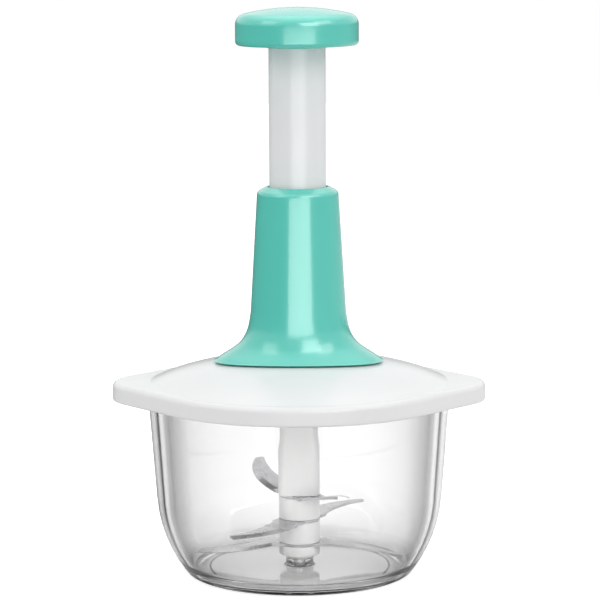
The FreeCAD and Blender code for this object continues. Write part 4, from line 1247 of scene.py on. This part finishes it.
# ---------------------------------------- plunger
def tube():
    radius = tube_high.x
    inside = radius - TUBE_WALL
    corners = [(radius, tube_low.z), (radius, tube_high.z), (inside, tube_high.z),
               (inside, tube_low.z)]
    profile = rounded_profile(dict.fromkeys(corners, TUBE_ROUND), closed=True)
    return settle(turned("plunger_tube_shell", profile, TUBE_WHITE), "plunger",
                  "white_tube_plastic", "plunger_tube")


def knob_crown(side, rise, top, edge_round):
    """The fillet and the ball crown above a knob's side, down to up: a ball through the middle of
    the top and the side's upper corner, met by a round that touches both."""
    ball = (side**2 + rise**2) / (2 * rise)
    centre_z = top - ball
    round_x = side - edge_round
    round_z = centre_z + math.sqrt((ball - edge_round) ** 2 - round_x**2)
    meet = math.atan2(round_z - centre_z, round_x)
    fillet = arc_points((round_x, round_z), edge_round, 0.0, meet)
    return fillet + arc_points((0.0, centre_z), ball, meet, QUARTER_TURN)[1:]


def knob_cap():
    bottom, top = knob_low.z, knob_high.z
    rise = top - bottom - KNOB_SIDE
    inset = KNOB_WALL + KNOB_LEDGE
    ledge = bottom + KNOB_BASE_THICKNESS
    mouth = KNOB_RADIUS - KNOB_WALL
    lower = rounded_profile({
        (KNOB_RADIUS - inset, ledge): 0.0,
        (mouth, ledge): 0.1,
        (mouth, bottom + KNOB_SEAM): 0.0,
        (mouth + KNOB_SEAM, bottom): 0.0,
        (KNOB_RADIUS, bottom): KNOB_LOWER_ROUND,
        (KNOB_RADIUS, bottom + KNOB_SIDE / 2): 0.0,
    })
    outer = knob_crown(KNOB_RADIUS, rise, top, KNOB_TOP_ROUND)
    inner = knob_crown(KNOB_RADIUS - inset, rise, top - inset, KNOB_TOP_ROUND - inset)
    profile = outer[::-1] + lower[::-1] + inner
    profile = [(max(radius, 0.0), height) for radius, height in profile]
    return settle(turned("knob_cap_shell", profile, TEAL), "plunger", "teal_plastic", "knob_cap")


def knob_base():
    bottom = knob_low.z
    bore = tube_high.x + PRESS_GAP
    collar = bore + KNOB_COLLAR
    sleeve = bore + KNOB_SLEEVE_WALL
    outer = base_high.x
    top = bottom + KNOB_BASE_THICKNESS - REST_GAP
    profile = rounded_profile({
        (bore, base_low.z): 0.2,
        (collar, base_low.z): 0.3,
        (collar + KNOB_COLLAR_DROP, bottom): 0.8,
        (outer, bottom): KNOB_SEAM,
        (outer, top): 0.2,
        (sleeve, top): 0.5,
        (sleeve, base_high.z): 1.0,
        (KNOB_SCREW_HOLE, base_high.z): 0.0,
        (KNOB_SCREW_HOLE, tube_high.z + REST_GAP): 0.0,
        (bore, tube_high.z + REST_GAP): 0.0,
    }, closed=True)
    return settle(turned("knob_base_disc", profile, TEAL), "plunger", "teal_plastic", "knob_base")


# ---------------------------------------- the carried-over nodes
def paint(node, material):
    mesh = frame["nodes"][node].data
    mesh.materials.clear()
    mesh.materials.append(material)


def paint_nodes():
    finishes = {
        STEEL: ["bowl_pivot_pin", "tower_screws", "spring_seat_washer", "nut_pins", "knob_screw",
                "twisted_drive_strip", "strip_cross_pin", "drive_thrust_washer", "drive_spindle"],
        WIRE: ["return_spring", "drive_circlip"],
        ACETAL: ["tube_guide_bush", "drive_bearing_bush", "drive_nut", "tube_top_plug",
                 "drive_base", "hub_pivot_bush"],
        SILICONE: ["lid_seal_ring"],
        HUB_WHITE: ["blade_hub", "hub_foot_ring", "blade_spacer_lower", "blade_spacer_upper"],
    }
    for material, nodes in finishes.items():
        for node in nodes:
            paint(node, material)
    for node, material in BLADE_STEELS.items():
        paint(node, material)


# ---------------------------------------- the studio
CAMERA_DISTANCE = 1224.0
CAMERA_PITCH = 8.1
CAMERA_YAW = 1.6
CAMERA_ROLL = 0.3
CAMERA_LENS = 165.0
AIM = (0.75, 122.75)  # how far right of the axis and how high the camera aims
FLOOR_SIZE = 6000.0
FLOOR_GLOW = 0.62  # keeps the floor white to the camera
FLOOR_GLOW_THROUGH = 0.22  # and through the bowl
TABLE_EDGE = (0.06, 0.19)  # metres to the left and back between which a mirrored floor dims
FAR_BACK = (0.13, 0.33)  # metres to the back between which its right half is full again
FAR_RIGHT = (0.0, 0.06)  # metres to the right between which that half begins
DAYLIGHT = 0.6  # strength of the even light at eye level
DAYLIGHT_RISE = 0.2  # and how much more of it there is overhead
ROOM_SHADE = 0.18  # brightness of what the object mirrors at eye level, and of a dimmed floor
ROOM_BRIGHT = 0.6  # and of what it mirrors on the right
RIGHT_SIDE = (0.1, 0.6)  # how far aside a mirrored ray points where that begins and is full
SKYLIGHT = 1.3  # how much brighter than the ceiling the middle of it is
MIDDLE = (0.5, 0.9)  # rise of a mirrored ray between which that begins
CEILING = 1.1  # brightness of what the object mirrors overhead
OVERHEAD = (0.03, 0.16)  # rise of a mirrored ray between which the ceiling begins


def turned_away(direction):
    """The turn that points a camera's or a lamp's back in a direction."""
    return direction.to_track_quat("Z", "Y").to_matrix().to_4x4()


def camera():
    data = bpy.data.cameras.new("camera")
    data.lens = CAMERA_LENS
    data.sensor_width = 36.0
    data.clip_start = 0.05
    data.clip_end = 50.0
    eye = new_object("camera", data)
    pitch, yaw = math.radians(CAMERA_PITCH), math.radians(CAMERA_YAW)
    away = Vector((math.sin(yaw) * math.cos(pitch), -math.cos(yaw) * math.cos(pitch), math.sin(pitch)))
    right = Vector((math.cos(yaw), math.sin(yaw), 0))
    aim = right * AIM[0] + UP * AIM[1]
    roll = Matrix.Rotation(math.radians(-CAMERA_ROLL), 4, "Z")
    place = Matrix.Translation((aim + away * CAMERA_DISTANCE) * MM)
    eye.matrix_world = place @ turned_away(away) @ roll
    bpy.context.scene.camera = eye


def softbox(name, place, size, power, diffuse=True, glossy=True, through=True):
    """An area light that faces the middle of the object."""
    data = bpy.data.lights.new(name, "AREA")
    data.shape = "RECTANGLE"
    data.size, data.size_y = size[0] * MM, size[1] * MM
    data.energy = power
    light = new_object(name, data)
    away = Vector(place) - UP * (knob_high.z / 2)
    light.matrix_world = Matrix.Translation(Vector(place) * MM) @ turned_away(away)
    light.visible_diffuse = diffuse
    light.visible_glossy = glossy
    light.visible_transmission = through
    light.visible_camera = False
    return light


def eased(value, edges):
    """0 before the first edge and 1 past the second, with a soft change between them."""
    return mapped(value, *edges, 0.0, 1.0, "SMOOTHSTEP")


def ray_kinds(tree):
    """Whether a ray comes from the camera, has been mirrored and has gone through the bowl."""
    rays = add_node(tree, "ShaderNodeLightPath")
    kinds = "Is Camera Ray", "Is Glossy Ray", "Is Transmission Ray"
    return [Formula(rays.outputs[kind]) for kind in kinds]


def studio_floor():
    """A pale floor that keeps the object's shadow and shows white where nothing shades it. The
    object mirrors a floor that darkens to the left and to the back, but not at the far right."""
    half = FLOOR_SIZE / 2
    material, tree, shader = finish_tree("pale_floor")
    place = object_coords(tree)
    pale = tinted(clouds(place, 3.0), (0.8, 0.8, 0.8), (0.79, 0.79, 0.79))
    seen, glossy, through = ray_kinds(tree)
    right, back, _ = apart(place)
    far = eased(right, FAR_RIGHT) * eased(back, FAR_BACK)
    dim = eased(back.math("MAXIMUM", 0.0) - right, TABLE_EDGE) * far.flipped()
    lit = (dim * glossy * through.flipped()).flipped()
    give(shader, {
        "Base Color": scaled(pale, lit * (1 - ROOM_SHADE) + ROOM_SHADE),
        "Emission Color": (1, 1, 1, 1),
        "Emission Strength": seen * FLOOR_GLOW + through * FLOOR_GLOW_THROUGH,
        "Roughness": 0.6,
        "Specular IOR Level": 0.0,
    })
    corners = [(-half, -half, 0), (half, -half, 0), (half, half, 0), (-half, half, 0)]
    plain_object("floor", corners, [(0, 1, 2, 3)], material)


def world():
    """White where the camera looks past the object or through it. What the object mirrors is dim
    at eye level, dimmest on the left, and bright overhead."""
    sky = bpy.data.worlds.new("studio")
    bpy.context.scene.world = sky
    sky.use_nodes = True
    tree = sky.node_tree
    tree.nodes.clear()
    seen, glossy, through = ray_kinds(tree)
    right, back, up = apart(result(tree, "ShaderNodeTexCoord", output="Generated"))
    aside = right - back.math("MAXIMUM", 0.0)
    beside = eased(aside, RIGHT_SIDE) * (ROOM_BRIGHT - ROOM_SHADE)
    overhead = eased(up, OVERHEAD) * (CEILING - ROOM_SHADE) + eased(up, MIDDLE) * SKYLIGHT
    room = beside.math("MAXIMUM", overhead) + ROOM_SHADE
    daylight = up * DAYLIGHT_RISE + DAYLIGHT
    unseen = glossy * (room - daylight) + daylight
    white = seen.math("MAXIMUM", through * eased(up, OVERHEAD).flipped())
    strength = white * unseen.flipped() + unseen
    background = result(tree, "ShaderNodeBackground", {"Color": (1, 1, 1, 1), "Strength": strength})
    add_node(tree, "ShaderNodeOutputWorld", {"Surface": background})


def studio():
    camera()
    studio_floor()
    world()
    softbox("key", (1200, -750, 1200), (900, 900), 8.4)
    softbox("fill", (-1200, -750, 1150), (900, 900), 5.8)
    softbox("top", (0, 50, 1300), (900, 900), 2.2)
    softbox("bowl_fill", (110, -800, 200), (1000, 1200), 9.0, diffuse=False, glossy=False)
    softbox("band", (85, -780, 85), (860, 240), 4.0, diffuse=False, through=False)
    softbox("window", (340, -715, 530), (500, 500), 4.3, diffuse=False, through=False)


bpy.context.scene.view_settings.view_transform = "Standard"
paint_nodes()
bowl()
lid()
tower()
tube()
knob_cap()
knob_base()
lid_ribs()
ear_ribs()
screw_bosses()
tower_screws()
seal_ring()
return_spring()
drive_strip()
blade_hub()
stack_ring("foot_ring", "hub_foot_ring")
stack_ring("lower_spacer", "blade_spacer_lower")
stack_ring("upper_spacer", "blade_spacer_upper")
studio()
